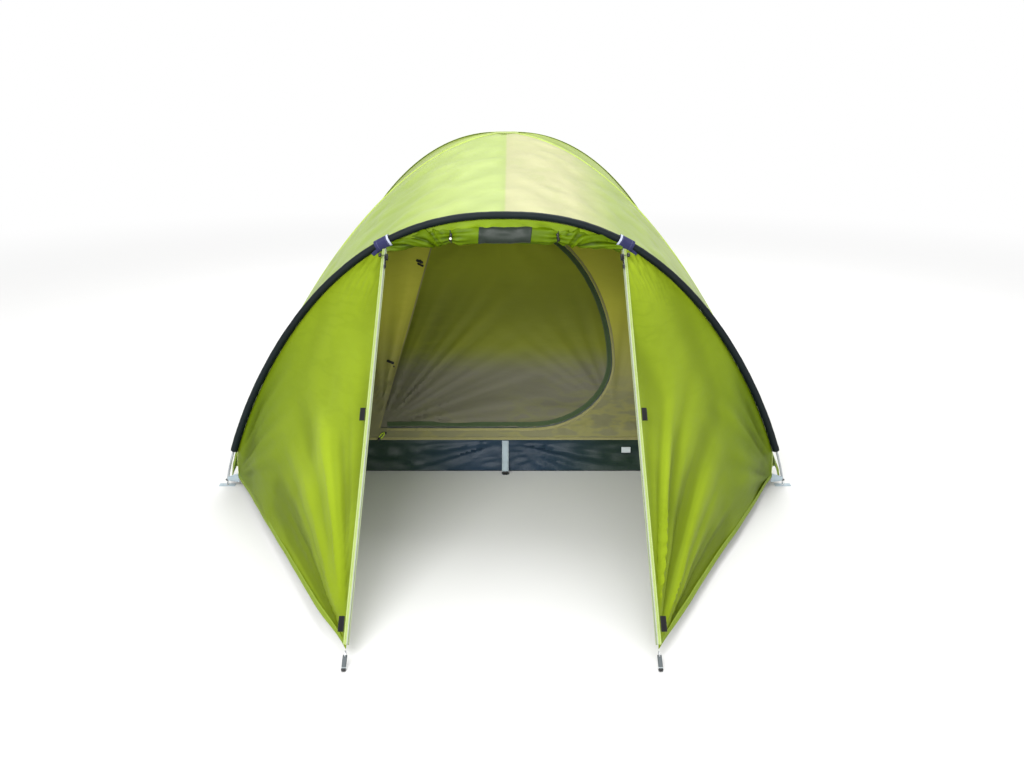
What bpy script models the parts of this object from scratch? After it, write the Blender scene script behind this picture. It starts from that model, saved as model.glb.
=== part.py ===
"""Three-person dome tent with a hooped vestibule, pitched on its poles.

Two dome poles cross over a hung inner tent, a third pole arches in a sleeve over the vestibule, and the
flysheet runs over all three. X is across the tent, Y runs from the doorway to the rear, Z is up. The origin
is on the ground, under the middle of the pitched tent.
"""

import math

import bmesh
import bpy
from mathutils import Matrix, Vector

# Dome poles
DOME_HALF_WIDTH = 1.02  # centre line to a pole foot
DOME_LENGTH = 2.14  # front feet to rear feet
DOME_HEIGHT = 1.20  # ground to the lower pole at the crossing
DOME_ROUNDNESS = 1.6  # exponent of the arch: smaller is boxier
DOME_SECTIONS = 7
# Hoop pole of the vestibule
HOOP_OVERHANG = 0.03  # each hoop foot stands this far outside the dome feet
HOOP_HALF_WIDTH = DOME_HALF_WIDTH + HOOP_OVERHANG
HOOP_HEIGHT = 1.05
HOOP_SHOULDER = 0.86  # exponent across: smaller carries the top further out
HOOP_ROUNDNESS = 1.6  # exponent upwards: smaller is boxier
HOOP_LEAN = 0.20  # how far the top stands forward of the feet
HOOP_TO_DOME = 0.10  # hoop feet to the front dome feet
HOOP_SECTIONS = 5
# Vestibule
VESTIBULE_DEPTH = 1.26  # hoop feet to the two front pegs
PEG_HALF_SPACING = 0.42
PEG_HEIGHT = 0.035
WING_CURVE = 1.15  # exponent that spreads a wing's rows towards the peg
DOOR_HALF_WIDTH = 0.41  # at the top of the zips
HEADER_DROP = 0.030  # strip of cloth between the hoop and the rolled door
ROLL_RADIUS = 0.020
ROLL_END_RADIUS = 0.009
HEADER_MARGIN = 0.12  # share of the roll that the header leaves bare at each end
TIE_PLACE = 0.22  # share of the roll from its middle to a tie
# Poles and fittings
POLE_RADIUS = 0.00425
FERRULE_RADIUS = 0.006
FERRULE_LENGTH = 0.05
POLE_POINTS = 8  # points along a section, its ends included
TIP_RADIUS = 0.0025
TIP_LENGTH = 0.022
TIP_CLEARANCE = 0.0012  # the steel tips stop just above the ground
SLEEVE_RADIUS = 0.012
SLEEVE_END_HEIGHT = 0.15
WRAP_LENGTH = 0.055
WRAP_TURN = 270  # degrees that a wrap reaches round the sleeve
SLIDER_DROP = 0.05  # top of a zip to its parked slider
SLIDER_SIZE = (0.010, 0.008, 0.022)
CLIP_WIRE = 0.0018
# Cloth, webbing and clearances
CLOTH = 0.0012
WEBBING = 0.0016
FIT_GAP = 0.0004
SEAM_GAP = 0.0018
SLEEVE_SEAM = 0.003  # cloth below the sleeve's underside
FLY_LIFT = 0.024  # fly above the pole's centre line
INNER_DROP = 0.035  # inner tent below the pole's centre line
FLY_HEM = 0.045
FLY_HEM_RISE = 0.03
PANEL_SAG = 0.018  # share of a panel's span that it dips by
WIDE_FLATTENING = 4  # exponent: how fast the rear panel flattens as the dome grows wider than long
CROWN_HOLE = 0.03
CROWN_PATCH = 0.11
CROWN_HOOK_PLACE = 0.02  # half width at which the crown hook holds the pole
# Inner tent
CLIP_ANGLE = 28  # degrees down from the crown to the clips
CLIP_SHARE = 0.4
TUB_HEIGHT = 0.128
TUB_SPREAD = 0.022  # how far the floor stands out past the rim of the tub
# D-shaped inner door, as points across and up
DOOR_BOTTOM = 0.165
DOOR_HINGE_FOOT = -0.491  # where the sewn edge meets the lower edge
DOOR_HINGE_TOP = (-0.287, 0.86)
DOOR_CROWN = (-0.05, 0.92)
DOOR_RIGHT = (0.424, 0.40)
DOOR_CORNER = 0.10  # where the straight zip along the bottom begins to turn up
DOOR_CLEARANCE = 0.002
HINGE_TRIM = 1.3  # the door's acute corner is trimmed by this many clearances
# Small fittings
STRAP_WIDTH = 0.025
STRAP_TAIL = 0.035
CORNER_STRAP_LENGTH = 0.075
EYELET_RADIUS = 0.0038
PEG_LOOP_LENGTH = 0.060
PEG_LOOP_WIDTH = 0.016
RING_RADIUS = 0.010
RING_WIRE = 0.0015
TOGGLE_RADIUS = 0.006
TOGGLE_LENGTH = 0.032
TOGGLE_HEIGHTS = {"lower": 0.39, "upper": 0.75}
TOGGLE_LEAN = (0.88, -0.47)  # across and up, of a length of one
TOGGLE_TO_HINGE = 0.03
DOOR_SLIDER_SIZE = (0.020, 0.010, 0.007)
RING_DROP = 0.008  # lower end of a zip to its ring's middle
HOOP_TAB_SHARE = 0.8  # length of a hoop foot's tab, as a share of a corner tab's

SIDES = {"left": -1, "right": 1}
ENDS = {"front": -1, "rear": 1}

STRAP_REACH = (CORNER_STRAP_LENGTH / 2 + STRAP_WIDTH / 2) * math.sqrt(0.5)
REAR_REACH = HOOP_TO_DOME + DOME_LENGTH + STRAP_REACH
FRONT_REACH = VESTIBULE_DEPTH + PEG_LOOP_LENGTH
HOOP_Y = (FRONT_REACH - REAR_REACH) / 2
DOME_Y = HOOP_Y + HOOP_TO_DOME + DOME_LENGTH / 2
INSIDE = Vector((0.0, DOME_Y - 0.3, 0.35))
UPPER_POLE_HEIGHT = DOME_HEIGHT + 2 * POLE_RADIUS + FIT_GAP

LIME = ("lime_flysheet", (0.42, 0.62, 0.06, 1), 0.6, 0.0)
KHAKI = ("khaki_inner", (0.33, 0.31, 0.17, 1), 0.8, 0.0)
DOOR_GREY = ("grey_door_cloth", (0.17, 0.18, 0.12, 1), 0.85, 0.0)
SLATE = ("slate_groundsheet", (0.05, 0.075, 0.09, 1), 0.55, 0.0)
NAVY = ("navy_sleeve", (0.03, 0.035, 0.06, 1), 0.7, 0.0)
GREY_WEB = ("grey_webbing", (0.35, 0.37, 0.38, 1), 0.8, 0.0)
BLACK = ("black_plastic", (0.02, 0.02, 0.02, 1), 0.4, 0.0)
FIBREGLASS = ("grey_fibreglass", (0.30, 0.31, 0.33, 1), 0.35, 0.0)
STEEL = ("steel", (0.6, 0.6, 0.6, 1), 0.3, 1.0)


def material(spec):
    """The Principled material that a specification names, made once."""
    name, colour, roughness, metallic = spec
    found = bpy.data.materials.get(name)
    if found:
        return found
    made = bpy.data.materials.new(name)
    made.use_nodes = True
    shader = made.node_tree.nodes["Principled BSDF"]
    shader.inputs["Base Color"].default_value = colour
    shader.inputs["Roughness"].default_value = roughness
    shader.inputs["Metallic"].default_value = metallic
    return made


def add(collection, name, data, spec):
    """A named object in a collection, with one material."""
    obj = bpy.data.objects.new(name, data)
    if spec:
        data.materials.append(material(spec))
    collection.objects.link(obj)
    return obj


def smooth(mesh):
    mesh.shade_smooth()
    mesh.set_sharp_from_angle(angle=math.radians(40))


def mesh_of(bm, name):
    mesh = bpy.data.meshes.new(name)
    bm.to_mesh(mesh)
    bm.free()
    return mesh


def panel(collection, name, surface, columns, rows, spec, thickness=CLOTH, inside=INSIDE):
    """A sheet laid over surface(u, v), u and v from 0 to 1, thickened towards the inside point."""
    bm = bmesh.new()
    bmesh.ops.create_grid(bm, x_segments=columns, y_segments=rows, size=0.5)
    for vert in bm.verts:
        vert.co = surface(vert.co.x + 0.5, vert.co.y + 0.5)
    bm.normal_update()
    facing = sum((f.normal.dot(f.calc_center_median() - inside) * f.calc_area() for f in bm.faces), 0.0)
    if facing < 0:
        bmesh.ops.reverse_faces(bm, faces=bm.faces)
    mesh = mesh_of(bm, name)
    smooth(mesh)
    obj = add(collection, name, mesh, spec)
    shell = obj.modifiers.new("Thickness", "SOLIDIFY")
    shell.thickness = thickness
    shell.offset = -1
    return obj


def rod(collection, name, points, radius, spec, radii=None, closed=False, facets=2):
    """A round bar along points, with a radius of its own at each point if radii are given. facets sets how
    many sides it has: four and two more for each."""
    curve = bpy.data.curves.new(name, "CURVE")
    curve.dimensions = "3D"
    curve.bevel_depth = radius
    curve.bevel_resolution = facets
    curve.use_fill_caps = not closed
    spline = curve.splines.new("POLY")
    spline.points.add(len(points) - 1)
    spline.use_cyclic_u = closed
    for index, (target, place) in enumerate(zip(spline.points, points)):
        target.co = (*place, 1)
        target.radius = radii[index] / radius if radii else 1.0
    spline.use_smooth = True
    return add(collection, name, curve, spec)


def box(collection, name, size, place, spec, turn=None, bevel=0.0):
    """A block of the given size about place."""
    bm = bmesh.new()
    bmesh.ops.create_cube(bm, size=1.0)
    bmesh.ops.scale(bm, vec=size, verts=bm.verts)
    obj = add(collection, name, mesh_of(bm, name), spec)
    obj.matrix_world = Matrix.Translation(place) @ (turn.to_4x4() if turn else Matrix())
    if bevel:
        edge = obj.modifiers.new("Edges", "BEVEL")
        edge.width = bevel
        edge.segments = 2
    return obj


def prism(collection, name, outline, depth, place, turn):
    """A cutter: the outline, extruded by depth each way."""
    curve = bpy.data.curves.new(name, "CURVE")
    curve.dimensions = "2D"
    curve.fill_mode = "BOTH"
    curve.extrude = depth
    spline = curve.splines.new("POLY")
    spline.points.add(len(outline) - 1)
    spline.use_cyclic_u = True
    for target, (x, y) in zip(spline.points, outline):
        target.co = (x, y, 0, 1)
    flat = add(collection, name + "_outline", curve, None)
    flat.matrix_world = Matrix.Translation(place) @ turn.to_4x4()
    bpy.context.view_layer.update()
    evaluated = flat.evaluated_get(bpy.context.evaluated_depsgraph_get())
    mesh = bpy.data.meshes.new_from_object(evaluated)
    bm = bmesh.new()
    bm.from_mesh(mesh)
    bmesh.ops.remove_doubles(bm, verts=bm.verts, dist=1e-6)
    bmesh.ops.recalc_face_normals(bm, faces=bm.faces)
    bm.to_mesh(mesh)
    bm.free()
    cutter = add(collection, name, mesh, None)
    cutter.matrix_world = flat.matrix_world
    bpy.data.objects.remove(flat)
    return hide_cutter(cutter)


def hide_cutter(obj):
    obj.hide_render = True
    obj.display_type = "WIRE"
    return obj


def boolean(obj, cutter, operation):
    cut = obj.modifiers.new(operation.title(), "BOOLEAN")
    cut.operation = operation
    cut.object = cutter


def bisect(inside_test, low, high):
    """The value between low and high where inside_test stops being true."""
    for _ in range(50):
        middle = (low + high) / 2
        if inside_test(middle):
            low = middle
        else:
            high = middle
    return low


def resample(points, count):
    """count points evenly spaced along a dense list of points."""
    steps = [0.0]
    for first, second in zip(points, points[1:]):
        steps.append(steps[-1] + (second - first).length)
    spaced = []
    index = 0
    for number in range(count):
        target = steps[-1] * number / (count - 1)
        while index < len(points) - 2 and steps[index + 1] < target:
            index += 1
        share = (target - steps[index]) / (steps[index + 1] - steps[index])
        spaced.append(points[index].lerp(points[index + 1], min(max(share, 0.0), 1.0)))
    return spaced


def ridge(side, end, angle, offset=0.0, height=DOME_HEIGHT):
    """A point beside a dome pole's centre line: angle is 0 at the crown and pi/2 at the foot, and offset is
    outwards in the pole's own upright plane."""
    span = math.hypot(DOME_HALF_WIDTH, DOME_LENGTH / 2)
    cosine = max(math.cos(angle), 1e-9)
    outward = DOME_ROUNDNESS * height * cosine ** (DOME_ROUNDNESS - 1) * math.sin(angle)
    upward = span * cosine
    length = math.hypot(outward, upward)
    reach = span * math.sin(angle) + offset * outward / length
    rise = height * cosine**DOME_ROUNDNESS + offset * upward / length
    share = reach / span
    return Vector((side * share * DOME_HALF_WIDTH, DOME_Y + end * share * DOME_LENGTH / 2, rise))


def ridge_angle(height, offset=0.0):
    """The ridge angle at which the offset line comes down to a height."""
    return bisect(lambda a: ridge(1, 1, a, offset).z > height, 0.0, math.pi / 2)


def crown_angle(half_width):
    return math.asin(half_width / DOME_HALF_WIDTH)


def hoop(angle, inward=0.0, forward=0.0):
    """A point beside the hoop's centre line: angle is 0 at the top, -pi/2 at the left foot and pi/2 at the
    right one. inward is in the hoop's leaning plane."""
    sine, cosine = max(math.sin(abs(angle)), 1e-9), max(math.cos(angle), 1e-9)
    side = -1 if angle < 0 else 1
    across = HOOP_HALF_WIDTH * sine**HOOP_SHOULDER
    rise = HOOP_HEIGHT * cosine**HOOP_ROUNDNESS
    outward = HOOP_ROUNDNESS * HOOP_HEIGHT * cosine ** (HOOP_ROUNDNESS - 1) * sine
    upward = HOOP_SHOULDER * HOOP_HALF_WIDTH * sine ** (HOOP_SHOULDER - 1) * cosine
    length = math.hypot(outward, upward)
    across -= inward * outward / length
    rise -= inward * upward / length
    lean = HOOP_LEAN * rise / HOOP_HEIGHT
    return Vector((side * across, HOOP_Y - lean - forward, rise))


def hoop_angle(test):
    return bisect(test, 0.0, math.pi / 2)


def ruled(first, second, share, sag=PANEL_SAG):
    """A point on the line between two edges, dipped towards the middle of the tent."""
    point = first.lerp(second, share)
    middle = first.lerp(second, 0.5)
    inward = Vector((-middle.x, DOME_Y - middle.y, -middle.z)).normalized()
    return point + inward * (sag * (second - first).length * 4 * share * (1 - share))


def corner(side, end):
    return Vector((side * DOME_HALF_WIDTH, DOME_Y + end * DOME_LENGTH / 2, 0.0))


# --- poles -------------------------------------------------------------------------------------------------

def pole(collection, name, centre_line, sections):
    """A pole in sections: each but the last carries the steel ferrule that the next one plugs into, and both
    ends of the pole have a thin steel tip."""
    dense = 40
    line = resample(centre_line, dense * sections + 1)
    for number in range(sections):
        stretch = line[dense * number: dense * (number + 1) + 1]
        first, last = number == 0, number == sections - 1
        near = (TIP_LENGTH, TIP_RADIUS) if first else (FIT_GAP, POLE_RADIUS)
        far = (TIP_LENGTH, TIP_RADIUS) if last else (FERRULE_LENGTH, FERRULE_RADIUS)
        start = stepped_end(stretch[0], stretch[1], *near)
        finish = stepped_end(stretch[-1], stretch[-2], *far)
        middle = [(point, POLE_RADIUS) for point in resample(stretch, POLE_POINTS)[1:-1]]
        stations = start + middle + finish[::-1]
        points, radii = [p for p, _ in stations], [r for _, r in stations]
        rod(collection, f"{name}_section_{number + 1}", points, POLE_RADIUS, FIBREGLASS, radii)


def stepped_end(end, towards, length, radius):
    """The points and radii that give a bar's end another radius over a length."""
    heading = (towards - end).normalized()
    places = (FIT_GAP / 2, length, length + FIT_GAP)
    return list(zip([end + heading * place for place in places], (radius, radius, POLE_RADIUS)))


def dome_line(side, height):
    """A dome pole's centre line, from a front foot over the crown to the opposite rear foot."""
    foot = bisect(lambda a: ridge(1, 1, a, 0.0, height).z > TIP_CLEARANCE, 0.0, math.pi / 2)
    count = 200
    line = []
    for number in range(2 * count + 1):
        angle = foot * (1 - number / count)
        end = -1 if angle > 0 else 1
        line.append(ridge(side if angle > 0 else -side, end, abs(angle), 0.0, height))
    return line


def hoop_line():
    foot = hoop_angle(lambda a: hoop(a).z > TIP_CLEARANCE)
    count = 400
    return [hoop(foot * (2 * number / count - 1)) for number in range(count + 1)]


def clip(collection, name, side, end, angle):
    """A plastic hook that hangs the inner tent from a dome pole."""
    height = DOME_HEIGHT if side * end > 0 else UPPER_POLE_HEIGHT
    centre = ridge(side, end, angle, 0.0, height)
    outward = (ridge(side, end, angle, 0.01, height) - centre).normalized()
    along = (ridge(side, end, angle + 0.01, 0.0, height) - centre).normalized()
    across = outward.cross(along).normalized()
    radius = POLE_RADIUS + FIT_GAP * 3 + CLIP_WIRE
    turns = [math.radians(60 + 30 * number) for number in range(11)]
    path = [centre + radius * (across * math.sin(a) - outward * math.cos(a)) for a in turns]
    path.append(centre - outward * (INNER_DROP - CLIP_WIRE - FIT_GAP))
    rod(collection, name, path, CLIP_WIRE, BLACK, facets=1)


# --- flysheet ----------------------------------------------------------------------------------------------

def side_panel(collection, side, name):
    """The fly between the front and rear ridges of one side."""
    top = crown_angle(CROWN_HOLE)

    def surface(u, v):
        hem = FLY_HEM + FLY_HEM_RISE * 4 * u * (1 - u)
        angle = top + (ridge_angle(hem, FLY_LIFT) - top) * v
        front = ridge(side, -1, angle, FLY_LIFT) + Vector((0, SEAM_GAP, 0))
        rear = ridge(side, 1, angle, FLY_LIFT) - Vector((0, SEAM_GAP, 0))
        return ruled(front, rear, u)

    panel(collection, name, surface, 8, 12, LIME)


def rear_panel(collection):
    """The fly behind the dome. It is pulled flatter where the dome is wider than long, clear of the tub."""
    top = crown_angle(CROWN_HOLE)
    squareness = min(1.0, DOME_LENGTH / 2 / DOME_HALF_WIDTH)

    def surface(u, v):
        hem = FLY_HEM + FLY_HEM_RISE * 4 * u * (1 - u)
        angle = top + (ridge_angle(hem, FLY_LIFT) - top) * v
        left = ridge(-1, 1, angle, FLY_LIFT) + Vector((SEAM_GAP, 0, 0))
        right = ridge(1, 1, angle, FLY_LIFT) - Vector((SEAM_GAP, 0, 0))
        return ruled(left, right, u, PANEL_SAG * squareness**WIDE_FLATTENING)

    panel(collection, "fly_rear", surface, 8, 12, LIME)


def canopy(collection):
    """The fly from the front ridges forward to the hoop."""
    foot = ridge_angle(FLY_HEM, FLY_LIFT)

    def surface(u, v):
        angle = foot * (2 * u - 1)
        back = ridge(-1 if angle < 0 else 1, -1, abs(angle), FLY_LIFT) - Vector((0, SEAM_GAP, 0))
        front = hoop(angle, SLEEVE_RADIUS + SLEEVE_SEAM, -SEAM_GAP)
        return back.lerp(front, v)

    panel(collection, "fly_canopy", surface, 24, 6, LIME)


def zip_line(side):
    """The top and bottom of a doorway zip."""
    angle = hoop_angle(lambda a: hoop(a).x < DOOR_HALF_WIDTH)
    top = hoop(side * angle, SLEEVE_RADIUS + SLEEVE_SEAM, SEAM_GAP)
    bottom = Vector((side * PEG_HALF_SPACING, HOOP_Y - VESTIBULE_DEPTH, PEG_HEIGHT))
    return top, bottom


def wing(collection, side, name):
    """The fly from the hoop forward to the zip and down to the front peg."""
    top, bottom = zip_line(side)
    high = hoop_angle(lambda a: hoop(a).x < DOOR_HALF_WIDTH + STRAP_TAIL)
    low = hoop_angle(lambda a: hoop(a).z > FLY_HEM)

    def surface(u, v):
        angle = high + (low - high) * v
        flare = max(0.0, 1 - hoop(angle).z / SLEEVE_END_HEIGHT) * STRAP_TAIL
        rear = hoop(side * angle, SLEEVE_RADIUS + SLEEVE_SEAM + flare, SEAM_GAP)
        front = top.lerp(bottom, v**WING_CURVE)
        return rear.lerp(front, u)

    panel(collection, name, surface, 8, 12, LIME, inside=Vector((0, HOOP_Y, 0.3)))


def roll_point(share):
    """The rolled door's centre line, share 0 at the left zip and 1 at the right one."""
    end = hoop_angle(lambda a: hoop(a).x < DOOR_HALF_WIDTH - WRAP_LENGTH / 2)
    drop = SLEEVE_RADIUS + SLEEVE_SEAM + CLOTH + ROLL_END_RADIUS + FIT_GAP * 5
    fall = HEADER_DROP + ROLL_RADIUS - ROLL_END_RADIUS
    middle = math.sin(math.pi * share)
    radius = ROLL_END_RADIUS + (ROLL_RADIUS - ROLL_END_RADIUS) * min(1.0, 2 * middle)
    return hoop(end * (2 * share - 1), drop + fall * middle, SEAM_GAP + CLOTH), radius


def rolled_door(collection):
    stations = [roll_point(number / 16) for number in range(17)]
    rod(collection, "door_roll", [p for p, _ in stations], ROLL_RADIUS, LIME, [r for _, r in stations])

    def header(u, v):
        share = HEADER_MARGIN + (1 - 2 * HEADER_MARGIN) * u
        place, radius = roll_point(share)
        end = hoop_angle(lambda a: hoop(a).x < DOOR_HALF_WIDTH - WRAP_LENGTH / 2)
        above = hoop(end * (2 * share - 1), SLEEVE_RADIUS + SLEEVE_SEAM, SEAM_GAP)
        gap = radius + 2 * CLIP_WIRE + 3 * FIT_GAP
        below = place + (above - place).normalized() * gap
        return above.lerp(below, v)

    panel(collection, "door_header", header, 16, 2, LIME)
    for name, side in SIDES.items():
        place, radius = roll_point(0.5 + side * TIE_PLACE)
        ring_radius = radius + CLIP_WIRE + FIT_GAP * 2
        turns = [math.tau * number / 16 for number in range(16)]
        heading = (roll_point(0.5 + side * (TIE_PLACE + 0.01))[0] - place).normalized()
        across = heading.cross(Vector((0, 0, 1))).normalized()
        upright = across.cross(heading)
        loop = [place + ring_radius * (across * math.cos(a) + upright * math.sin(a)) for a in turns]
        rod(collection, f"roll_tie_{name}", loop, CLIP_WIRE, BLACK, closed=True, facets=1)


def sleeve(collection):
    """The open-ended sleeve that carries the hoop pole."""
    foot = hoop_angle(lambda a: hoop(a).z > SLEEVE_END_HEIGHT)
    around, along = 8, 28

    bm = bmesh.new()
    rings = []
    for number in range(along + 1):
        angle = foot * (2 * number / along - 1)
        centre = hoop(angle)
        heading = (hoop(angle + 0.001) - hoop(angle - 0.001)).normalized()
        inward = (hoop(angle, 0.01) - centre).normalized()
        across = heading.cross(inward).normalized()
        turns = [math.tau * step / around for step in range(around)]
        ring = [centre + SLEEVE_RADIUS * (inward * math.cos(a) + across * math.sin(a)) for a in turns]
        rings.append([bm.verts.new(point) for point in ring])
    loops = [[bm.edges.new((ring[k], ring[(k + 1) % around])) for k in range(around)] for ring in rings]
    for first, second in zip(loops, loops[1:]):
        bmesh.ops.bridge_loops(bm, edges=first + second)
    bmesh.ops.recalc_face_normals(bm, faces=bm.faces)
    mesh = mesh_of(bm, "hoop_sleeve")
    smooth(mesh)
    obj = add(collection, "hoop_sleeve", mesh, NAVY)
    shell = obj.modifiers.new("Thickness", "SOLIDIFY")
    shell.thickness = CLOTH
    shell.offset = -1


def hoop_wrap(collection, side, name):
    """A reflective wrap over the sleeve at the top of a zip, open towards the cloth."""
    angle = hoop_angle(lambda a: hoop(a).x < DOOR_HALF_WIDTH)
    half = WRAP_LENGTH / 2 / HOOP_HALF_WIDTH
    radius = SLEEVE_RADIUS + FIT_GAP * 3 + WEBBING

    def surface(u, v):
        place = side * (angle + half * (2 * v - 1))
        centre = hoop(place)
        outward = (centre - hoop(place, 0.01)).normalized()
        heading = (hoop(place + 0.001) - centre).normalized()
        across = heading.cross(outward).normalized()
        turn = math.radians(WRAP_TURN) * (u - 0.5)
        return centre + radius * (outward * math.cos(turn) + across * math.sin(turn))

    panel(collection, name, surface, 14, 3, NAVY, WEBBING, inside=hoop(side * angle))


def zip_slider(collection, side, name):
    """A doorway zip's slider, parked at the top. It runs down the straight edge of the wing."""
    top, bottom = zip_line(side)
    down = (bottom - top).normalized()
    inward = Vector((-side, 0, 0))
    front = down.cross(inward).normalized() * side
    inward = front.cross(down).normalized() * side
    turn = Matrix((inward, front, down)).transposed()
    place = top + down * SLIDER_DROP + inward * (SLIDER_SIZE[0] / 2 + FIT_GAP * 3)
    box(collection, name, SLIDER_SIZE, place, BLACK, turn, SLIDER_SIZE[1] / 4)


def peg_fittings(collection, side, name):
    """The steel ring at a wing's front corner and the webbing loop that the peg goes through."""
    _, bottom = zip_line(side)
    ring_place = bottom + Vector((0, -RING_RADIUS - RING_WIRE - FIT_GAP * 4, -RING_DROP))
    turns = [math.tau * number / 14 for number in range(14)]
    ring = [ring_place + RING_RADIUS * Vector((0, math.cos(a), math.sin(a))) for a in turns]
    rod(collection, f"peg_ring_{name}", ring, RING_WIRE, STEEL, closed=True, facets=1)
    rear = ring_place.y
    front = HOOP_Y - FRONT_REACH + WEBBING
    straight = (rear - front) / 2 - PEG_LOOP_WIDTH / 2
    middle = (rear + front) / 2
    low, high = WEBBING, ring_place.z
    count = 16
    half_turn = math.pi / count
    loop = []
    for a in (half_turn * (2 * number + 1) for number in range(count)):
        bend = PEG_LOOP_WIDTH / 2 * math.cos(a) / math.cos(half_turn)
        y = middle + math.copysign(straight, math.cos(a)) + bend
        share = (y - front) / (rear - front)
        loop.append(Vector((bottom.x + PEG_LOOP_WIDTH / 2 * math.sin(a), y, low + (high - low) * share**2)))
    rod(collection, f"peg_loop_{name}", loop, WEBBING, GREY_WEB, closed=True, facets=1)


# --- inner tent --------------------------------------------------------------------------------------------

def inner_foot():
    """The ridge angle at the inner cloth's lower edge, just above the tub."""
    return ridge_angle(TUB_HEIGHT + CLOTH + FIT_GAP * 4, -INNER_DROP)


def inner_ridge(side, end, share):
    """The inner cloth's corner seam: it follows the pole from the crown (share 0) to the clip (share
    CLIP_SHARE), then runs straight down to the tub (share 1)."""
    top, clip_place = crown_angle(CROWN_HOLE), math.radians(CLIP_ANGLE)
    if share < CLIP_SHARE:
        return ridge(side, end, top + (clip_place - top) * share / CLIP_SHARE, -INNER_DROP)
    hung = ridge(side, end, clip_place, -INNER_DROP)
    return hung.lerp(ridge(side, end, inner_foot(), -INNER_DROP), (share - CLIP_SHARE) / (1 - CLIP_SHARE))


def inner_wall(collection, name, first, second, shift, spec=KHAKI, sag=PANEL_SAG):
    """Inner cloth between two ridges, each (side, end). shift moves the edges off the ridge."""

    def surface(u, v):
        a = inner_ridge(*first, v) + shift
        b = inner_ridge(*second, v) - shift
        return ruled(a, b, u, sag)

    return panel(collection, name, surface, 8, 10, spec)


def quarter(centre, radii, start):
    """A quarter of an ellipse as points, from the start angle on, anticlockwise."""
    angles = [start + math.pi / 2 * number / 9 for number in range(10)]
    return [(centre[0] + radii[0] * math.cos(a), centre[1] + radii[1] * math.sin(a)) for a in angles]


def door_outline(trim):
    """The D-shaped door seen from the front, trimmed all round."""
    lower = (DOOR_RIGHT[0] - DOOR_CORNER - trim, DOOR_RIGHT[1] - DOOR_BOTTOM - trim)
    upper = (DOOR_RIGHT[0] - DOOR_CROWN[0] - trim, DOOR_CROWN[1] - DOOR_RIGHT[1] - trim)
    left = (DOOR_CROWN[0] - DOOR_HINGE_TOP[0] - trim, DOOR_CROWN[1] - DOOR_HINGE_TOP[1] - trim)
    outline = quarter((DOOR_CORNER, DOOR_RIGHT[1]), lower, -math.pi / 2)
    outline += quarter((DOOR_CROWN[0], DOOR_RIGHT[1]), upper, 0.0)[1:]
    outline += quarter((DOOR_CROWN[0], DOOR_HINGE_TOP[1]), left, math.pi / 2)[1:]
    outline.append((DOOR_HINGE_FOOT + trim * HINGE_TRIM, DOOR_BOTTOM + trim))
    return outline


def front_wall(collection, cutters):
    """The inner tent's front, with the D-shaped door cut out of it and made as its own panel."""
    upright = Matrix.Rotation(math.pi / 2, 3, "X")
    place = Vector((0, DOME_Y - DOME_LENGTH / 4, 0))
    ridges = ((-1, -1), (1, -1))
    shift = Vector((SEAM_GAP, 0, 0))
    wall = inner_wall(collection, "inner_front", *ridges, shift, sag=0.0)
    opening = prism(cutters, "doorway_cutter", door_outline(0.0), DOME_LENGTH / 2, place, upright)
    boolean(wall, opening, "DIFFERENCE")
    door = inner_wall(collection, "inner_door", *ridges, shift, DOOR_GREY, sag=0.0)
    trimmed = prism(cutters, "door_cutter", door_outline(DOOR_CLEARANCE), DOME_LENGTH / 2, place, upright)
    boolean(door, trimmed, "INTERSECT")


def front_face(x, height, proud):
    """A point in front of the inner tent's front cloth."""
    high, low = inner_ridge(1, -1, CLIP_SHARE), inner_ridge(1, -1, 1.0)
    place = low.lerp(high, (height - low.z) / (high.z - low.z))
    lean = high - low
    normal = Vector((0, -lean.z, lean.y)).normalized()
    return Vector((x, place.y, place.z)) + normal * proud, normal


def door_fittings(collection):
    """The door zip's slider below the door's left corner, and two toggles beside its hinge edge."""
    length, _, depth = DOOR_SLIDER_SIZE
    height = (DOOR_BOTTOM + TUB_HEIGHT) / 2
    place, normal = front_face(DOOR_HINGE_FOOT + length, height, depth / 2 + FIT_GAP * 3)
    up = Vector((1, 0, 0)).cross(normal).normalized()
    turn = Matrix((Vector((1, 0, 0)), up, normal)).transposed()
    box(collection, "door_slider", DOOR_SLIDER_SIZE, place, BLACK, turn, depth / 5)
    for name, height in TOGGLE_HEIGHTS.items():
        share = (height - DOOR_BOTTOM) / (DOOR_HINGE_TOP[1] - DOOR_BOTTOM)
        edge = DOOR_HINGE_FOOT + (DOOR_HINGE_TOP[0] - DOOR_HINGE_FOOT) * share
        across, upwards = (part * TOGGLE_LENGTH / 2 for part in TOGGLE_LEAN)
        rise = upwards * abs(normal.y)
        proud = TOGGLE_RADIUS + FIT_GAP * 5
        below, _ = front_face(edge - TOGGLE_TO_HINGE - across, height - rise, proud)
        above, _ = front_face(edge - TOGGLE_TO_HINGE + across, height + rise, proud)
        radii = [TOGGLE_RADIUS * 0.5, TOGGLE_RADIUS, TOGGLE_RADIUS, TOGGLE_RADIUS * 0.5]
        points = [below.lerp(above, share) for share in (0.0, 0.15, 0.85, 1.0)]
        rod(collection, f"door_toggle_{name}", points, TOGGLE_RADIUS, BLACK, radii)


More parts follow.
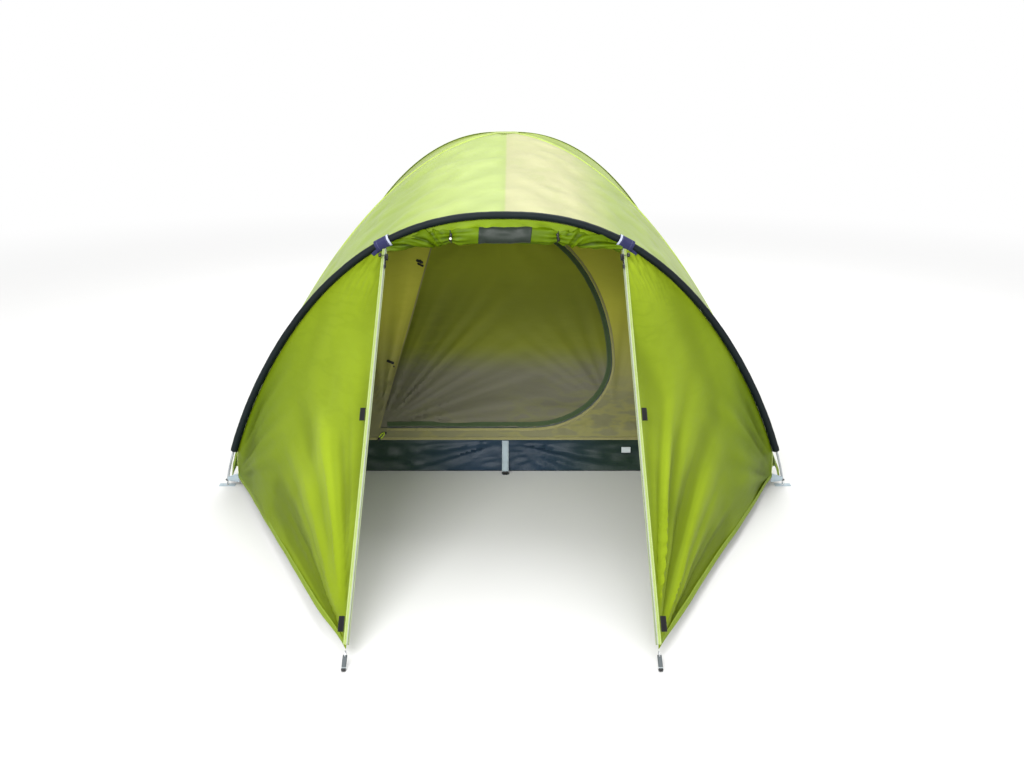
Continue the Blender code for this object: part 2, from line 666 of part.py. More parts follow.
def groundsheet(collection):
    """The tub floor: a flat base whose sides lean in to the rim."""
    foot = ridge(1, 1, inner_foot(), -INNER_DROP)
    half_x, half_y = foot.x, foot.y - DOME_Y
    bm = bmesh.new()
    bmesh.ops.create_cube(bm, size=2.0)
    for vert in bm.verts:
        low = vert.co.z < 0
        spread = TUB_SPREAD if low else 0.0
        vert.co.x *= half_x + spread
        vert.co.y *= half_y + spread
        vert.co.y += DOME_Y
        vert.co.z = 0.0 if low else TUB_HEIGHT
    lid = max(bm.faces, key=lambda face: face.calc_center_median().z)
    bmesh.ops.delete(bm, geom=[lid], context="FACES_ONLY")
    obj = add(collection, "groundsheet_tub", mesh_of(bm, "groundsheet_tub"), SLATE)
    shell = obj.modifiers.new("Thickness", "SOLIDIFY")
    shell.thickness = CLOTH * 2
    shell.offset = -1
    shell.use_even_offset = True


def webbing_tab(collection, cutters, name, place, heading, length):
    """A webbing tab flat on the ground, with the eyelet that takes a pole's tip."""
    angle = math.atan2(heading.y, heading.x)
    turn = Matrix.Rotation(angle, 3, "Z")
    middle = place + Vector((0, 0, WEBBING / 2))
    tab = box(collection, name, (length, STRAP_WIDTH, WEBBING), middle, GREY_WEB, turn)
    bm = bmesh.new()
    bmesh.ops.create_cone(
        bm, cap_ends=True, segments=16, radius1=EYELET_RADIUS, radius2=EYELET_RADIUS, depth=WEBBING * 4
    )
    cutter = add(cutters, name + "_eyelet", mesh_of(bm, name + "_eyelet"), None)
    cutter.location = middle
    boolean(tab, hide_cutter(cutter), "DIFFERENCE")


def centre_strap(collection):
    """The peg-out strap in front of the tub, with its moulded end lying on the ground."""
    foot = ridge(1, -1, inner_foot(), -INNER_DROP)
    gap = WEBBING + FIT_GAP * 4
    top = Vector((0, foot.y - gap - 0.002, TUB_HEIGHT - 0.005))
    knee = Vector((0, foot.y - TUB_SPREAD - gap - 0.006, 0.012))
    tip = knee + Vector((0, -STRAP_TAIL, -knee.z + WEBBING))

    def surface(u, v):
        path = top.lerp(knee, v / 0.7) if v < 0.7 else knee.lerp(tip, (v - 0.7) / 0.3)
        return path + Vector(((u - 0.5) * STRAP_WIDTH, 0, 0))

    inside = Vector((0, foot.y, -0.3))
    panel(collection, "centre_strap", surface, 1, 10, GREY_WEB, WEBBING, inside)


def main():
    for obj in list(bpy.data.objects):
        bpy.data.objects.remove(obj)
    tent = bpy.data.collections.new("dome_tent")
    cutters = bpy.data.collections.new("cutters")
    for collection in (tent, cutters):
        bpy.context.scene.collection.children.link(collection)

    pole(tent, "dome_pole_a", dome_line(-1, DOME_HEIGHT), DOME_SECTIONS)
    pole(tent, "dome_pole_b", dome_line(1, UPPER_POLE_HEIGHT), DOME_SECTIONS)
    pole(tent, "hoop_pole", hoop_line(), HOOP_SECTIONS)
    for side_name, side in SIDES.items():
        for end_name, end in ENDS.items():
            name = f"{end_name}_{side_name}"
            heading = Vector((side, end, 0)).normalized()
            webbing_tab(tent, cutters, f"corner_tab_{name}", corner(side, end), heading, CORNER_STRAP_LENGTH)
            clip(tent, f"inner_clip_{name}", side, end, math.radians(CLIP_ANGLE))
    clip(tent, "crown_hook", -1, -1, crown_angle(CROWN_HOOK_PLACE))

    for name, side in SIDES.items():
        foot = Vector((side * HOOP_HALF_WIDTH, HOOP_Y, 0))
        tab_length = CORNER_STRAP_LENGTH * HOOP_TAB_SHARE
        webbing_tab(tent, cutters, f"hoop_tab_{name}", foot, Vector((1, 0, 0)), tab_length)
        side_panel(tent, side, f"fly_{name}")
        wing(tent, side, f"wing_{name}")
        hoop_wrap(tent, side, f"hoop_wrap_{name}")
        zip_slider(tent, side, f"zip_slider_{name}")
        peg_fittings(tent, side, name)
    rear_panel(tent)
    canopy(tent)
    sleeve(tent)
    rolled_door(tent)
    top = DOME_HEIGHT + FLY_LIFT + FIT_GAP * 2 + WEBBING / 2
    box(tent, "crown_patch", (CROWN_PATCH, CROWN_PATCH, WEBBING), Vector((0, DOME_Y, top)), LIME)

    groundsheet(tent)
    front_wall(tent, cutters)
    lengthways, across = Vector((0, SEAM_GAP, 0)), Vector((SEAM_GAP, 0, 0))
    inner_wall(tent, "inner_left", (-1, -1), (-1, 1), lengthways)
    inner_wall(tent, "inner_right", (1, -1), (1, 1), lengthways)
    inner_wall(tent, "inner_rear", (-1, 1), (1, 1), across)
    door_fittings(tent)
    centre_strap(tent)


main()
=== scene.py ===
"""Looks for a pitched dome tent: every cloth panel, seam, zip and fitting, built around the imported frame.

The flysheet, the hung inner tent, the tub floor, the poles and the small fittings are each a class that
builds its meshes from the tent's own lines and dresses them. All lengths are in metres, +Z is up and the
doorway faces -Y.
"""

import logging
import math
from collections.abc import Callable, Iterable, Sequence
from dataclasses import dataclass
from enum import Enum
from functools import lru_cache

import bmesh
import bpy
from mathutils import Matrix, Vector, noise


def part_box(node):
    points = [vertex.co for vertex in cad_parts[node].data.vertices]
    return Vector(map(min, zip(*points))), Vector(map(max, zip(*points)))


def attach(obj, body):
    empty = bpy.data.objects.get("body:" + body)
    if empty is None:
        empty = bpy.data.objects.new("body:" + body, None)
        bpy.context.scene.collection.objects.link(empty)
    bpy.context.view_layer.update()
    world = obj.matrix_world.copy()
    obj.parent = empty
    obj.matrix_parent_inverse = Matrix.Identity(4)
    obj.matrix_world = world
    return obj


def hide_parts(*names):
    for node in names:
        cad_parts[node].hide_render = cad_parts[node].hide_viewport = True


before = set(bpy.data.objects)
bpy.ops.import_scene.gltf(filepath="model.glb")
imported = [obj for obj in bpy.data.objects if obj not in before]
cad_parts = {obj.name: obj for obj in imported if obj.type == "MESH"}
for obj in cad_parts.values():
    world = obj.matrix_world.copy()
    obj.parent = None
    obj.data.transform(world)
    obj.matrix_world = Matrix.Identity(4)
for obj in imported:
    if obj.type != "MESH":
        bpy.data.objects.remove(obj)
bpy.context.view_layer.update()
LOG = logging.getLogger("dome_tent")

Colour = tuple[float, float, float]
Surface = Callable[[float, float], Vector]
Relief = Callable[[float, float, Vector], float]
SIDES = {"left": -1, "right": 1}
ENDS = {"front": -1, "rear": 1}
FOLD = "fold"
UP = Vector((0.0, 0.0, 1.0))
RIGHT = Vector((1.0, 0.0, 0.0))


class Body(Enum):
    """The moving bodies that pieces ride on."""

    TENT = "pitched_tent"
    DOOR = "inner_door"
    DOOR_SLIDER = "door_zip_slider"
    LEFT_SLIDER = "zip_slider_left"
    RIGHT_SLIDER = "zip_slider_right"


class Slot(Enum):
    """Names of the pieces' material slots."""

    FLY = "flysheet"
    INNER = "inner_cloth"
    DOOR = "door_cloth"
    FLOOR = "groundsheet"
    SLEEVE = "sleeve_cloth"
    WEBBING = "webbing"
    PLASTIC = "black_plastic"
    FIBREGLASS = "fibreglass"
    STEEL = "steel"


class Held(Enum):
    """How a sheet of cloth is held."""

    STRETCHED = "stretched"
    HUNG = "hung"
    LAID = "laid"


# --- shader tools ------------------------------------------------------------------------------------------


class Socket:
    """A shader value whose arithmetic adds Math nodes."""

    def __init__(self, kit: "ShaderKit", output: bpy.types.NodeSocket) -> None:
        self.kit = kit
        self.output = output

    def __add__(self, other: "Value") -> "Socket":
        """This plus other."""
        return self.kit.maths("ADD", self, other)

    __radd__ = __add__

    def __mul__(self, other: "Value") -> "Socket":
        """This times other."""
        return self.kit.maths("MULTIPLY", self, other)

    __rmul__ = __mul__

    def __sub__(self, other: "Value") -> "Socket":
        """This minus other."""
        return self.kit.maths("SUBTRACT", self, other)

    def __rsub__(self, other: "Value") -> "Socket":
        """Other minus this."""
        return self.kit.maths("SUBTRACT", other, self)

    def __truediv__(self, other: "Value") -> "Socket":
        """This over other."""
        return self.kit.maths("DIVIDE", self, other)

    def __pow__(self, other: "Value") -> "Socket":
        """This to the power of other."""
        return self.kit.maths("POWER", self, other)

    def __gt__(self, other: "Value") -> "Socket":
        """1 where this is greater than other, or else 0."""
        return self.kit.maths("GREATER_THAN", self, other)

    def __lt__(self, other: "Value") -> "Socket":
        """1 where this is less than other, or else 0."""
        return self.kit.maths("LESS_THAN", self, other)

    def __abs__(self) -> "Socket":
        """This without its sign."""
        return self.kit.maths("ABSOLUTE", self)

    def sine(self) -> "Socket":
        """The sine of this, in radians."""
        return self.kit.maths("SINE", self)

    def part(self) -> "Socket":
        """What is left of this above its whole number."""
        return self.kit.maths("FRACT", self)

    def rise(self, low: float, high: float) -> "Socket":
        """A soft step: 0 at low, 1 at high."""
        node = self.kit.add(
            "ShaderNodeMapRange",
            {"interpolation_type": "SMOOTHSTEP"},
            {"Value": self, "From Min": low, "From Max": high},
        )
        return Socket(self.kit, node.outputs["Result"])


Value = Socket | float
Input = Socket | float | Sequence[float]


class ShaderKit:
    """One material's node tree, and the means to add to it."""

    def __init__(self, name: str) -> None:
        """Makes a material with a Principled shader and nothing else."""
        self.material = bpy.data.materials.new(name)
        self.material.use_nodes = True
        self.tree = self.material.node_tree
        self.shader = self.tree.nodes["Principled BSDF"]
        self.output = self.tree.nodes["Material Output"]
        # The folds' height, stored on each mesh; the cloth finishes paint shade into its hollows and
        # highlight onto its tops from it.
        self.fold = Socket(self, self.add("ShaderNodeAttribute", {"attribute_name": FOLD}).outputs["Fac"])
        self.place = self._output("ShaderNodeTexCoord", "Object")
        self.weave = self._output("ShaderNodeTexCoord", "UV")

    def _output(self, kind: str, name: str) -> Socket:
        """A named output of a new node."""
        return Socket(self, self.add(kind).outputs[name])

    def add(
        self,
        kind: str,
        settings: dict[str, object] | None = None,
        sockets: dict[str | int, Input] | None = None,
    ) -> bpy.types.Node:
        """Adds a node.

        Args:
            kind: The node's type.
            settings: Its properties, set first.
            sockets: Values or links for its inputs, by name or number.

        Returns:
            The node.
        """
        node = self.tree.nodes.new(kind)
        for name, value in (settings or {}).items():
            setattr(node, name, value)
        for key, value in (sockets or {}).items():
            self.feed(node.inputs[key], value)
        return node

    def feed(self, target: bpy.types.NodeSocket, value: Input) -> None:
        """Links a socket to a Socket, or sets it to a number or a colour."""
        if isinstance(value, Socket):
            self.tree.links.new(value.output, target)
        elif isinstance(value, (int, float)):
            target.default_value = value
        else:
            target.default_value = (*value, 1.0) if len(target.default_value) == 4 else tuple(value)

    def maths(self, operation: str, *values: Value) -> Socket:
        """One Math node."""
        node = self.add("ShaderNodeMath", {"operation": operation}, dict(enumerate(values)))
        return Socket(self, node.outputs[0])

    def axis(self, vector: Socket, name: str) -> Socket:
        """The X, Y or Z of a vector."""
        node = self.add("ShaderNodeSeparateXYZ", None, {0: vector})
        return Socket(self, node.outputs[name])

    def stretched(self, vector: Socket, scale: Sequence[float]) -> Socket:
        """A vector scaled along each axis."""
        node = self.add("ShaderNodeVectorMath", {"operation": "MULTIPLY"}, {0: vector, 1: scale})
        return Socket(self, node.outputs[0])

    def noise(self, vector: Socket, scale: float, detail: float = 3.0) -> Socket:
        """Soft noise from 0 to 1, of a number of cells to the metre."""
        node = self.add("ShaderNodeTexNoise", None, {"Vector": vector, "Scale": scale, "Detail": detail})
        return Socket(self, node.outputs["Fac"])

    def mix(self, share: Value, first: Input, second: Input, blend: str = "MIX") -> Socket:
        """Two colours mixed: first at 0 and second at 1."""
        settings = {"data_type": "RGBA", "blend_type": blend}
        node = self.add("ShaderNodeMix", settings, {0: share, 6: first, 7: second})
        return Socket(self, node.outputs[2])

    def bump(
        self, height: Value, distance: float, strength: float = 1.0, over: Socket | None = None
    ) -> Socket:
        """A normal from a height of 0 to 1, raised by a distance in metres."""
        sockets = {"Height": height, "Distance": distance, "Strength": strength}
        if over:
            sockets["Normal"] = over
        return Socket(self, self.add("ShaderNodeBump", None, sockets).outputs["Normal"])

    def paint(self, **inputs: Input) -> bpy.types.Material:
        """Sets or links the Principled shader's inputs, given with _ for a space.

        Returns:
            The finished material.
        """
        for name, value in inputs.items():
            self.feed(self.shader.inputs[name.replace("_", " ")], value)
        return self.material

    def cover(self, share: Value, other: bpy.types.Node) -> None:
        """Mixes a share of another shader over the Principled one."""
        sockets = {0: share, 1: Socket(self, self.shader.outputs[0]), 2: Socket(self, other.outputs[0])}
        both = self.add("ShaderNodeMixShader", None, sockets)
        self.feed(self.output.inputs["Surface"], Socket(self, both.outputs[0]))


# Used alike for the cloth's own colours and for the colours that paint light and shade onto it.
def from_display(red: int, green: int, blue: int) -> Colour:
    """A colour as a light meter reads it, from its display values of 0 to 255."""

    def linear(value: int) -> float:
        """One display value on the linear scale."""
        share = value / 255
        return share / 12.92 if share <= 0.04045 else ((share + 0.055) / 1.055) ** 2.4

    return linear(red), linear(green), linear(blue)


def scaled(colour: Colour, factor: float) -> Colour:
    """A colour made darker or paler."""
    return tuple(factor * value for value in colour)


@dataclass(frozen=True)
class Fade:
    """A colour that comes in softly across the tent; the finishes use fades to paint light and shade over the
    cloth.

    Attributes:
        colour: The colour that it fades to.
        start: Where it begins, along the direction, in metres.
        end: Where it is complete.
        direction: The way it goes; its first number counts from the middle of the tent outwards.
        share: How much of the colour comes in.
        mirrored: Whether both halves of the tent fade alike.
    """

    colour: Colour
    start: float
    end: float
    direction: Colour = (0.0, 0.0, 1.0)
    share: float = 1.0
    mirrored: bool = True

    def over(self, kit: ShaderKit, under: Input) -> Socket:
        """The colour under, with this fade laid over it."""
        out, back, up = (kit.axis(kit.place, name) for name in "XYZ")
        sideways = abs(out) if self.mirrored else out
        way = sideways * self.direction[0] + back * self.direction[1] + up * self.direction[2]
        return kit.mix(way.rise(self.start, self.end) * self.share, under, self.colour)


@dataclass(frozen=True)
class CoatedCloth:
    """Woven nylon or polyester with a thin coat: a ripstop grid, soft creases and a satin gloss, with shade
    painted into its creases and fold hollows and highlight painted onto its fold tops.

    Attributes:
        name: The finish's name.
        colour: Its main colour.
        shade: The colour of its uneven patches, also painted into its small creases as shade.
        fades: Changes of colour across the tent.
        grid: The pitch of the ripstop threads.
        crease: How deep the small creases look, in metres.
        roughness: The coat's roughness.
        sheen: How much its fibres catch the light at a glancing angle.
        glow: The share of the light that it lets through.
        blotch: How uneven the colour is.
        specular: How strongly its coat reflects.
        fold: The fold height at which the painted shade or highlight is complete.
        painted_fold_shading: How strongly shade is painted into the hollows between folds and highlight onto
            their tops.
    """

    name: str
    colour: Colour
    shade: Colour
    fades: tuple[Fade, ...] = ()
    grid: float = 0.006
    crease: float = 0.0012
    roughness: float = 0.42
    sheen: float = 0.2
    glow: float = 0.25
    blotch: float = 0.5
    specular: float = 0.45
    fold: float = 0.007
    painted_fold_shading: float = 0.5

    def material(self) -> bpy.types.Material:
        """The finish as a material."""
        kit = ShaderKit(self.name)
        across, along = kit.axis(kit.weave, "X"), kit.axis(kit.weave, "Y")
        threads = kit.maths("MAXIMUM", self._thread(across), self._thread(along))
        broad = kit.noise(kit.place, 2.6, 2.0)
        slant = kit.stretched(kit.place, (5.0, 5.0, 17.0))
        fine = kit.noise(slant, 1.4, 4.0)
        # Bands of the fine noise along the small creases; they only darken the colour there, as painted
        # shade.
        creases = (fine.rise(0.42, 0.5) - fine.rise(0.5, 0.62)) * broad.rise(0.3, 0.75)
        colour = kit.mix(broad.rise(0.25, 0.8) * self.blotch, self.colour, self.shade)
        for fade in self.fades:
            colour = fade.over(kit, colour)
        # Painted shade in the hollows between folds and painted highlight on their tops, from the fold
        # heights on the mesh.
        fold_hollow_shade = (0.0 - kit.fold).rise(0.0, self.fold) * self.painted_fold_shading
        ridges = kit.fold.rise(0.0, self.fold) * self.painted_fold_shading
        colour = kit.mix(fold_hollow_shade, colour, (0.62, 0.63, 0.5), "MULTIPLY")
        colour = kit.mix(ridges, colour, (1.22, 1.2, 1.3), "MULTIPLY")
        colour = kit.mix(creases * 0.25, colour, self.shade)
        colour = kit.mix(threads * 0.06, colour, scaled(self.colour, 0.55))
        worn = kit.noise(kit.place, 9.0, 3.0)
        normal = kit.bump(fine, self.crease * 6, 0.35)
        normal = kit.bump(threads, 0.00012, 0.35, normal)
        if self.glow:
            kit.cover(self.glow, kit.add("ShaderNodeBsdfTranslucent", None, {"Color": colour}))
        return kit.paint(
            Base_Color=colour,
            Roughness=worn * 0.16 + (self.roughness - 0.08),
            Normal=normal,
            Sheen_Weight=self.sheen,
            Sheen_Roughness=0.45,
            Specular_IOR_Level=self.specular,
        )

    def _thread(self, way: Socket) -> Socket:
        """1 on the thicker threads that cross the cloth at the grid's pitch."""
        return (way / self.grid).part() < 0.14


@dataclass(frozen=True)
class Tape:
    """A sewn tape: seam tape, binding, webbing or zip tape, ribbed across and stitched along.

    Attributes:
        name: The finish's name.
        colour: The tape's colour.
        thread: The stitches' colour.
        rows: Where the rows of stitches run, from the tape's middle.
        rib: The pitch of its ribs, along the tape.
        edge: Where a border of another colour begins, from the middle, or 0 for none.
        faces: 1 or -1 for a border on that side alone, 0 for both.
        border: The border's colour.
        gloss: How shiny the border is, from 0 to 1.
        roughness: The tape's roughness.
    """

    name: str
    colour: Colour
    thread: Colour
    rows: tuple[float, ...] = ()
    rib: float = 0.0016
    edge: float = 0.0
    faces: int = 0
    border: Colour = (0.5, 0.5, 0.5)
    gloss: float = 0.0
    roughness: float = 0.75

    def material(self) -> bpy.types.Material:
        """The finish as a material."""
        kit = ShaderKit(self.name)
        along, across = kit.axis(kit.weave, "X"), kit.axis(kit.weave, "Y")
        ribs = (along * (math.tau / self.rib)).sine() * 0.5 + 0.5
        worn = kit.noise(kit.place, 30.0, 3.0)
        colour = kit.mix(worn.rise(0.4, 0.75) * 0.35, self.colour, scaled(self.colour, 0.72))
        colour = kit.mix(ribs * 0.12, colour, scaled(self.colour, 0.6))
        height = ribs * 0.5
        rough: Value = worn * 0.12 + self.roughness
        metal: Value = 0.0
        if self.edge:
            border = (across * self.faces if self.faces else abs(across)) > self.edge
            colour = kit.mix(border, colour, self.border)
            rough = rough - border * (0.45 * self.gloss)
            metal = border * self.gloss
        for row in self.rows:
            dash = (abs(across - row) < 0.0005) * ((along / 0.0034).part() < 0.66)
            colour = kit.mix(dash, colour, self.thread)
            height = height + dash * 1.6
        return kit.paint(
            Base_Color=colour,
            Roughness=rough,
            Metallic=metal,
            Normal=kit.bump(height, 0.00025, 0.6),
            Sheen_Weight=0.04,
            Specular_IOR_Level=0.25,
        )


@dataclass(frozen=True)
class Moulded:
    """Moulded plastic, with a fine grain and rubbed high spots.

    Attributes:
        name: The finish's name.
        colour: Its colour.
        roughness: Its roughness.
    """

    name: str
    colour: Colour
    roughness: float = 0.42

    def material(self) -> bpy.types.Material:
        """The finish as a material."""
        kit = ShaderKit(self.name)
        grain, rubbed = kit.noise(kit.place, 2600.0, 2.0), kit.noise(kit.place, 55.0, 3.0)
        paler = tuple(min(1.0, 1.7 * value + 0.01) for value in self.colour)
        return kit.paint(
            Base_Color=kit.mix(rubbed.rise(0.45, 0.8), self.colour, paler),
            Roughness=rubbed * 0.2 + (self.roughness - 0.1),
            Normal=kit.bump(grain, 0.00008, 0.5),
            Specular_IOR_Level=0.5,
        )


@dataclass(frozen=True)
class Fibreglass:
    """Wrapped fibreglass rod: long pale fibres under a clear resin.

    Attributes:
        name: The finish's name.
        colour: The resin's colour.
        fibre: The fibres' colour.
    """

    name: str
    colour: Colour
    fibre: Colour

    def material(self) -> bpy.types.Material:
        """The finish as a material."""
        kit = ShaderKit(self.name)
        fibres = kit.noise(kit.stretched(kit.weave, (18.0, 900.0, 1.0)), 1.0, 3.0)
        scuffs = kit.noise(kit.place, 40.0, 4.0)
        colour = kit.mix(fibres.rise(0.38, 0.66), self.colour, self.fibre)
        return kit.paint(
            Base_Color=kit.mix(scuffs.rise(0.55, 0.8) * 0.4, colour, scaled(self.fibre, 0.6)),
            Roughness=scuffs * 0.25 + 0.22,
            Normal=kit.bump(fibres, 0.00012, 0.4),
            Coat_Weight=0.35,
            Coat_Roughness=0.15,
        )


@dataclass(frozen=True)
class PlatedSteel:
    """Nickel-plated steel wire or tube, a little dulled by handling.

    Attributes:
        name: The finish's name.
        colour: The plating's colour.
    """

    name: str
    colour: Colour

    def material(self) -> bpy.types.Material:
        """The finish as a material."""
        kit = ShaderKit(self.name)
        dull = kit.noise(kit.place, 90.0, 4.0)
        drawn = kit.noise(kit.stretched(kit.weave, (30, 1500, 1)), 1.0, 2.0)
        return kit.paint(
            Base_Color=kit.mix(dull.rise(0.5, 0.75), self.colour, scaled(self.colour, 0.6)),
            Roughness=dull * 0.3 + 0.14,
            Metallic=1.0 - dull.rise(0.62, 0.8) * 0.25,
            Normal=kit.bump(drawn, 0.00005, 0.4),
        )


@dataclass(frozen=True)
class ZipTeeth:
    """A spiral zip's teeth, moulded on a cord.

    Attributes:
        name: The finish's name.
        colour: The teeth's colour.
        pitch: The space that one tooth takes.
    """

    name: str
    colour: Colour
    pitch: float = 0.0022

    def material(self) -> bpy.types.Material:
        """The finish as a material."""
        kit = ShaderKit(self.name)
        along = kit.axis(kit.weave, "X")
        teeth = (along * (math.tau / self.pitch)).sine() * 0.5 + 0.5
        grime = kit.noise(kit.place, 60.0, 3.0)
        colour = kit.mix(teeth * 0.5, self.colour, scaled(self.colour, 0.35))
        return kit.paint(
            Base_Color=kit.mix(grime.rise(0.5, 0.8) * 0.3, colour, scaled(self.colour, 0.5)),
            Roughness=grime * 0.2 + 0.4,
            Normal=kit.bump(teeth, 0.0006, 0.8),
        )


# --- finishes ----------------------------------------------------------------------------------------------

LIME = from_display(148, 170, 36)
DEEP_LIME = from_display(118, 140, 18)
OLIVE = from_display(152, 158, 36)
SLATE = from_display(32, 52, 70)


@lru_cache(maxsize=None)
def made(finish: object) -> bpy.types.Material:
    """A finish's material, made once."""
    return finish.material()


# Paler above 0.7 m: painted highlight where the top light falls on the upper fly.
FLY_BACK = CoatedCloth(
    "lime_fly",
    from_display(148, 170, 40),
    from_display(124, 146, 22),
    fades=(Fade(from_display(166, 186, 84), 0.7, 1.1, share=0.8),),
    glow=0.3,
    sheen=0.08,
    specular=0.3,
)
# Its pale colour, and the paler beige right of the middle seam, are painted highlight from the top light; it
# fades to a deeper lime towards the sides.
FLY_CANOPY = CoatedCloth(
    "lime_canopy",
    from_display(166, 186, 88),
    from_display(146, 168, 62),
    fades=(
        Fade(from_display(196, 178, 152), -0.004, 0.008, (1.0, 0.0, 0.0), 0.5, False),
        Fade(from_display(138, 164, 34), 0.22, 0.44, (1.0, 0.0, 0.0), 0.85),
    ),
    roughness=0.4,
    sheen=0.16,
    specular=0.3,
    glow=0.3,
    blotch=0.4,
)
# Darker towards the outer sides and below 0.42 m towards the ground: painted shade.
FLY_WING = CoatedCloth(
    "lime_wing",
    LIME,
    DEEP_LIME,
    fades=(
        Fade(from_display(86, 110, 0), 0.58, 1.0, (1.0, 0.0, 0.0), 0.95),
        Fade(from_display(118, 138, 14), 0.42, 0.1, share=0.6),
    ),
    glow=0.3,
    sheen=0.0,
    specular=0.08,
    crease=0.0018,
    painted_fold_shading=0.8,
)
# A darker copy of the flysheet for the header strip under the sleeve: painted shade, with full fold shading.
FLY_SHADED = CoatedCloth(
    "lime_header",
    from_display(118, 144, 12),
    from_display(44, 62, 0),
    crease=0.0016,
    sheen=0.0,
    glow=0.1,
    painted_fold_shading=1.0,
    specular=0.12,
)
# The flysheet's lime made much darker for the rolled door: painted shade in the roll, with full fold shading.
ROLL_CLOTH = CoatedCloth(
    "lime_roll",
    from_display(84, 108, 0),
    from_display(30, 42, 0),
    crease=0.002,
    sheen=0.0,
    glow=0.0,
    fold=0.003,
    painted_fold_shading=1.0,
    specular=0.12,
)
PATCH_CLOTH = CoatedCloth(
    "slate_patch", from_display(32, 42, 34), from_display(24, 32, 26), glow=0.0, sheen=0.1, specular=0.3
)
# Its yellow tint over the beige cloth is painted lime light from the fly; the greyer beige that comes in
# below 0.62 m is painted plainer light from the doorway.
INNER_WALL = CoatedCloth(
    "khaki_wall",
    from_display(206, 202, 74),
    from_display(182, 178, 54),
    fades=(Fade(from_display(122, 120, 86), 0.62, 0.24),),
    grid=0.004,
    roughness=0.7,
    sheen=0.1,
    glow=0.2,
)
# Its olive tint is painted lime light from the fly over the door cloth; it darkens below 0.82 m as painted
# shade and turns grey-beige below 0.46 m as painted plainer light from the doorway.
DOOR_CLOTH = CoatedCloth(
    "olive_door",
    OLIVE,
    from_display(122, 126, 26),
    fades=(Fade(from_display(98, 104, 14), 0.82, 0.56, share=0.85), Fade(from_display(98, 96, 80), 0.46, 0.34)),
    grid=0.004,
    roughness=0.75,
    sheen=0.1,
    glow=0.12,
)
# Darker and greener towards the sides, under the wings: painted shade.
TUB_CLOTH = CoatedCloth(
    "slate_tub",
    SLATE,
    from_display(22, 38, 50),
    fades=(Fade(from_display(22, 42, 26), 0.1, 0.45, (1.0, 0.0, 0.0), 0.9),),
    grid=0.003,
    crease=0.0006,
    roughness=0.42,
    specular=0.25,
    fold=0.005,
    sheen=0.05,
    glow=0.0,
)
SLEEVE_CLOTH = CoatedCloth(
    "navy_sleeve",
    from_display(12, 24, 27),
    from_display(7, 13, 15),
    grid=0.003,
    roughness=0.6,
    sheen=0.0,
    glow=0.0,
    specular=0.2,
)
# Paler than the fly cloth: painted highlight, so that the seams look as light as the lit canopy beside them.
SEAM_TAPE = Tape("lime_seam", from_display(158, 180, 70), from_display(182, 196, 120), rows=(-0.0045, 0.0045), rib=0.0008)
# Darker than the fly cloth, like the painted shade along the wings' foot.
HEM_TAPE = Tape("lime_hem", from_display(112, 134, 12), from_display(150, 168, 60), rows=(-0.0055, 0.0055), rib=0.0008)
INNER_TAPE = Tape("khaki_seam", from_display(138, 134, 88), from_display(160, 156, 120), rows=(-0.0035, 0.0035), rib=0.0008)
BINDING = Tape("pale_binding", from_display(188, 202, 128), from_display(220, 226, 190), rows=(0.0,), rib=0.0012)
ZIP_TAPE = Tape("pale_zip_tape", from_display(140, 158, 84), from_display(186, 196, 150), rows=(-0.0025, 0.0028), rib=0.0009)
FLAP_TAPE = Tape("olive_flap", from_display(58, 74, 46), from_display(98, 108, 88), rows=(-0.0072, 0.0072), rib=0.0009)
GREY_WEB = Tape("grey_webbing", from_display(160, 174, 182), from_display(118, 128, 134), rows=(-0.009, 0.009), rib=0.0019)
DARK_WEB = Tape("dark_webbing", from_display(84, 90, 92), from_display(50, 54, 56), rows=(-0.005, 0.005), rib=0.0019)
# A grey strip behind the porch zip's edge: painted shadow of the zip.
ZIP_SHADOW_TAPE = Tape("painted_zip_shadow_tape", from_display(138, 148, 116), from_display(110, 120, 90), rows=(0.0,), rib=0.0009)
BLACK_WEB = Tape("black_webbing", from_display(12, 12, 14), from_display(40, 40, 42), rows=(-0.006, 0.006), rib=0.0016)
WRAP_WEBS = {
    side: Tape(
        f"navy_wrap_{name}",
        from_display(40, 42, 80),
        from_display(96, 98, 130),
        rows=(-0.017, 0.017),
        rib=0.0012,
        edge=0.0205,
        faces=-side,
        border=from_display(176, 182, 200),
        gloss=0.3,
    )
    for name, side in SIDES.items()
}
LABEL_CLOTH = Tape("blank_label", from_display(196, 204, 206), from_display(150, 160, 164), rows=(-0.008, 0.008), rib=0.0007)
WHITE_TEETH = ZipTeeth("white_zip_teeth", from_display(168, 176, 162))
DARK_TEETH = ZipTeeth("dark_zip_teeth", from_display(92, 104, 108), 0.0018)
BLACK = Moulded("black_plastic", from_display(16, 16, 18))
WHITE = Moulded("white_plastic", from_display(228, 228, 224))
LIME_CORD = Moulded("lime_cord", from_display(176, 204, 40), 0.7)
BLACK_CORD = Moulded("black_cord", from_display(36, 38, 40), 0.75)
RESIN = Fibreglass("grey_fibreglass", from_display(128, 132, 138), from_display(176, 180, 184))
STEEL = PlatedSteel("plated_steel", from_display(206, 208, 210))


# --- the tent's lines --------------------------------------------------------------------------------------


def bisect(inside: Callable[[float], bool], low: float, high: float) -> float:
    """The value between low and high where a test stops being true."""
    for _ in range(50):
        middle = (low + high) / 2
        if inside(middle):
            low = middle
        else:
            high = middle
    return low


def middle_of(node: str) -> Vector:
    """The middle of a CAD node's box."""
    low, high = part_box(node)
    return (low + high) / 2


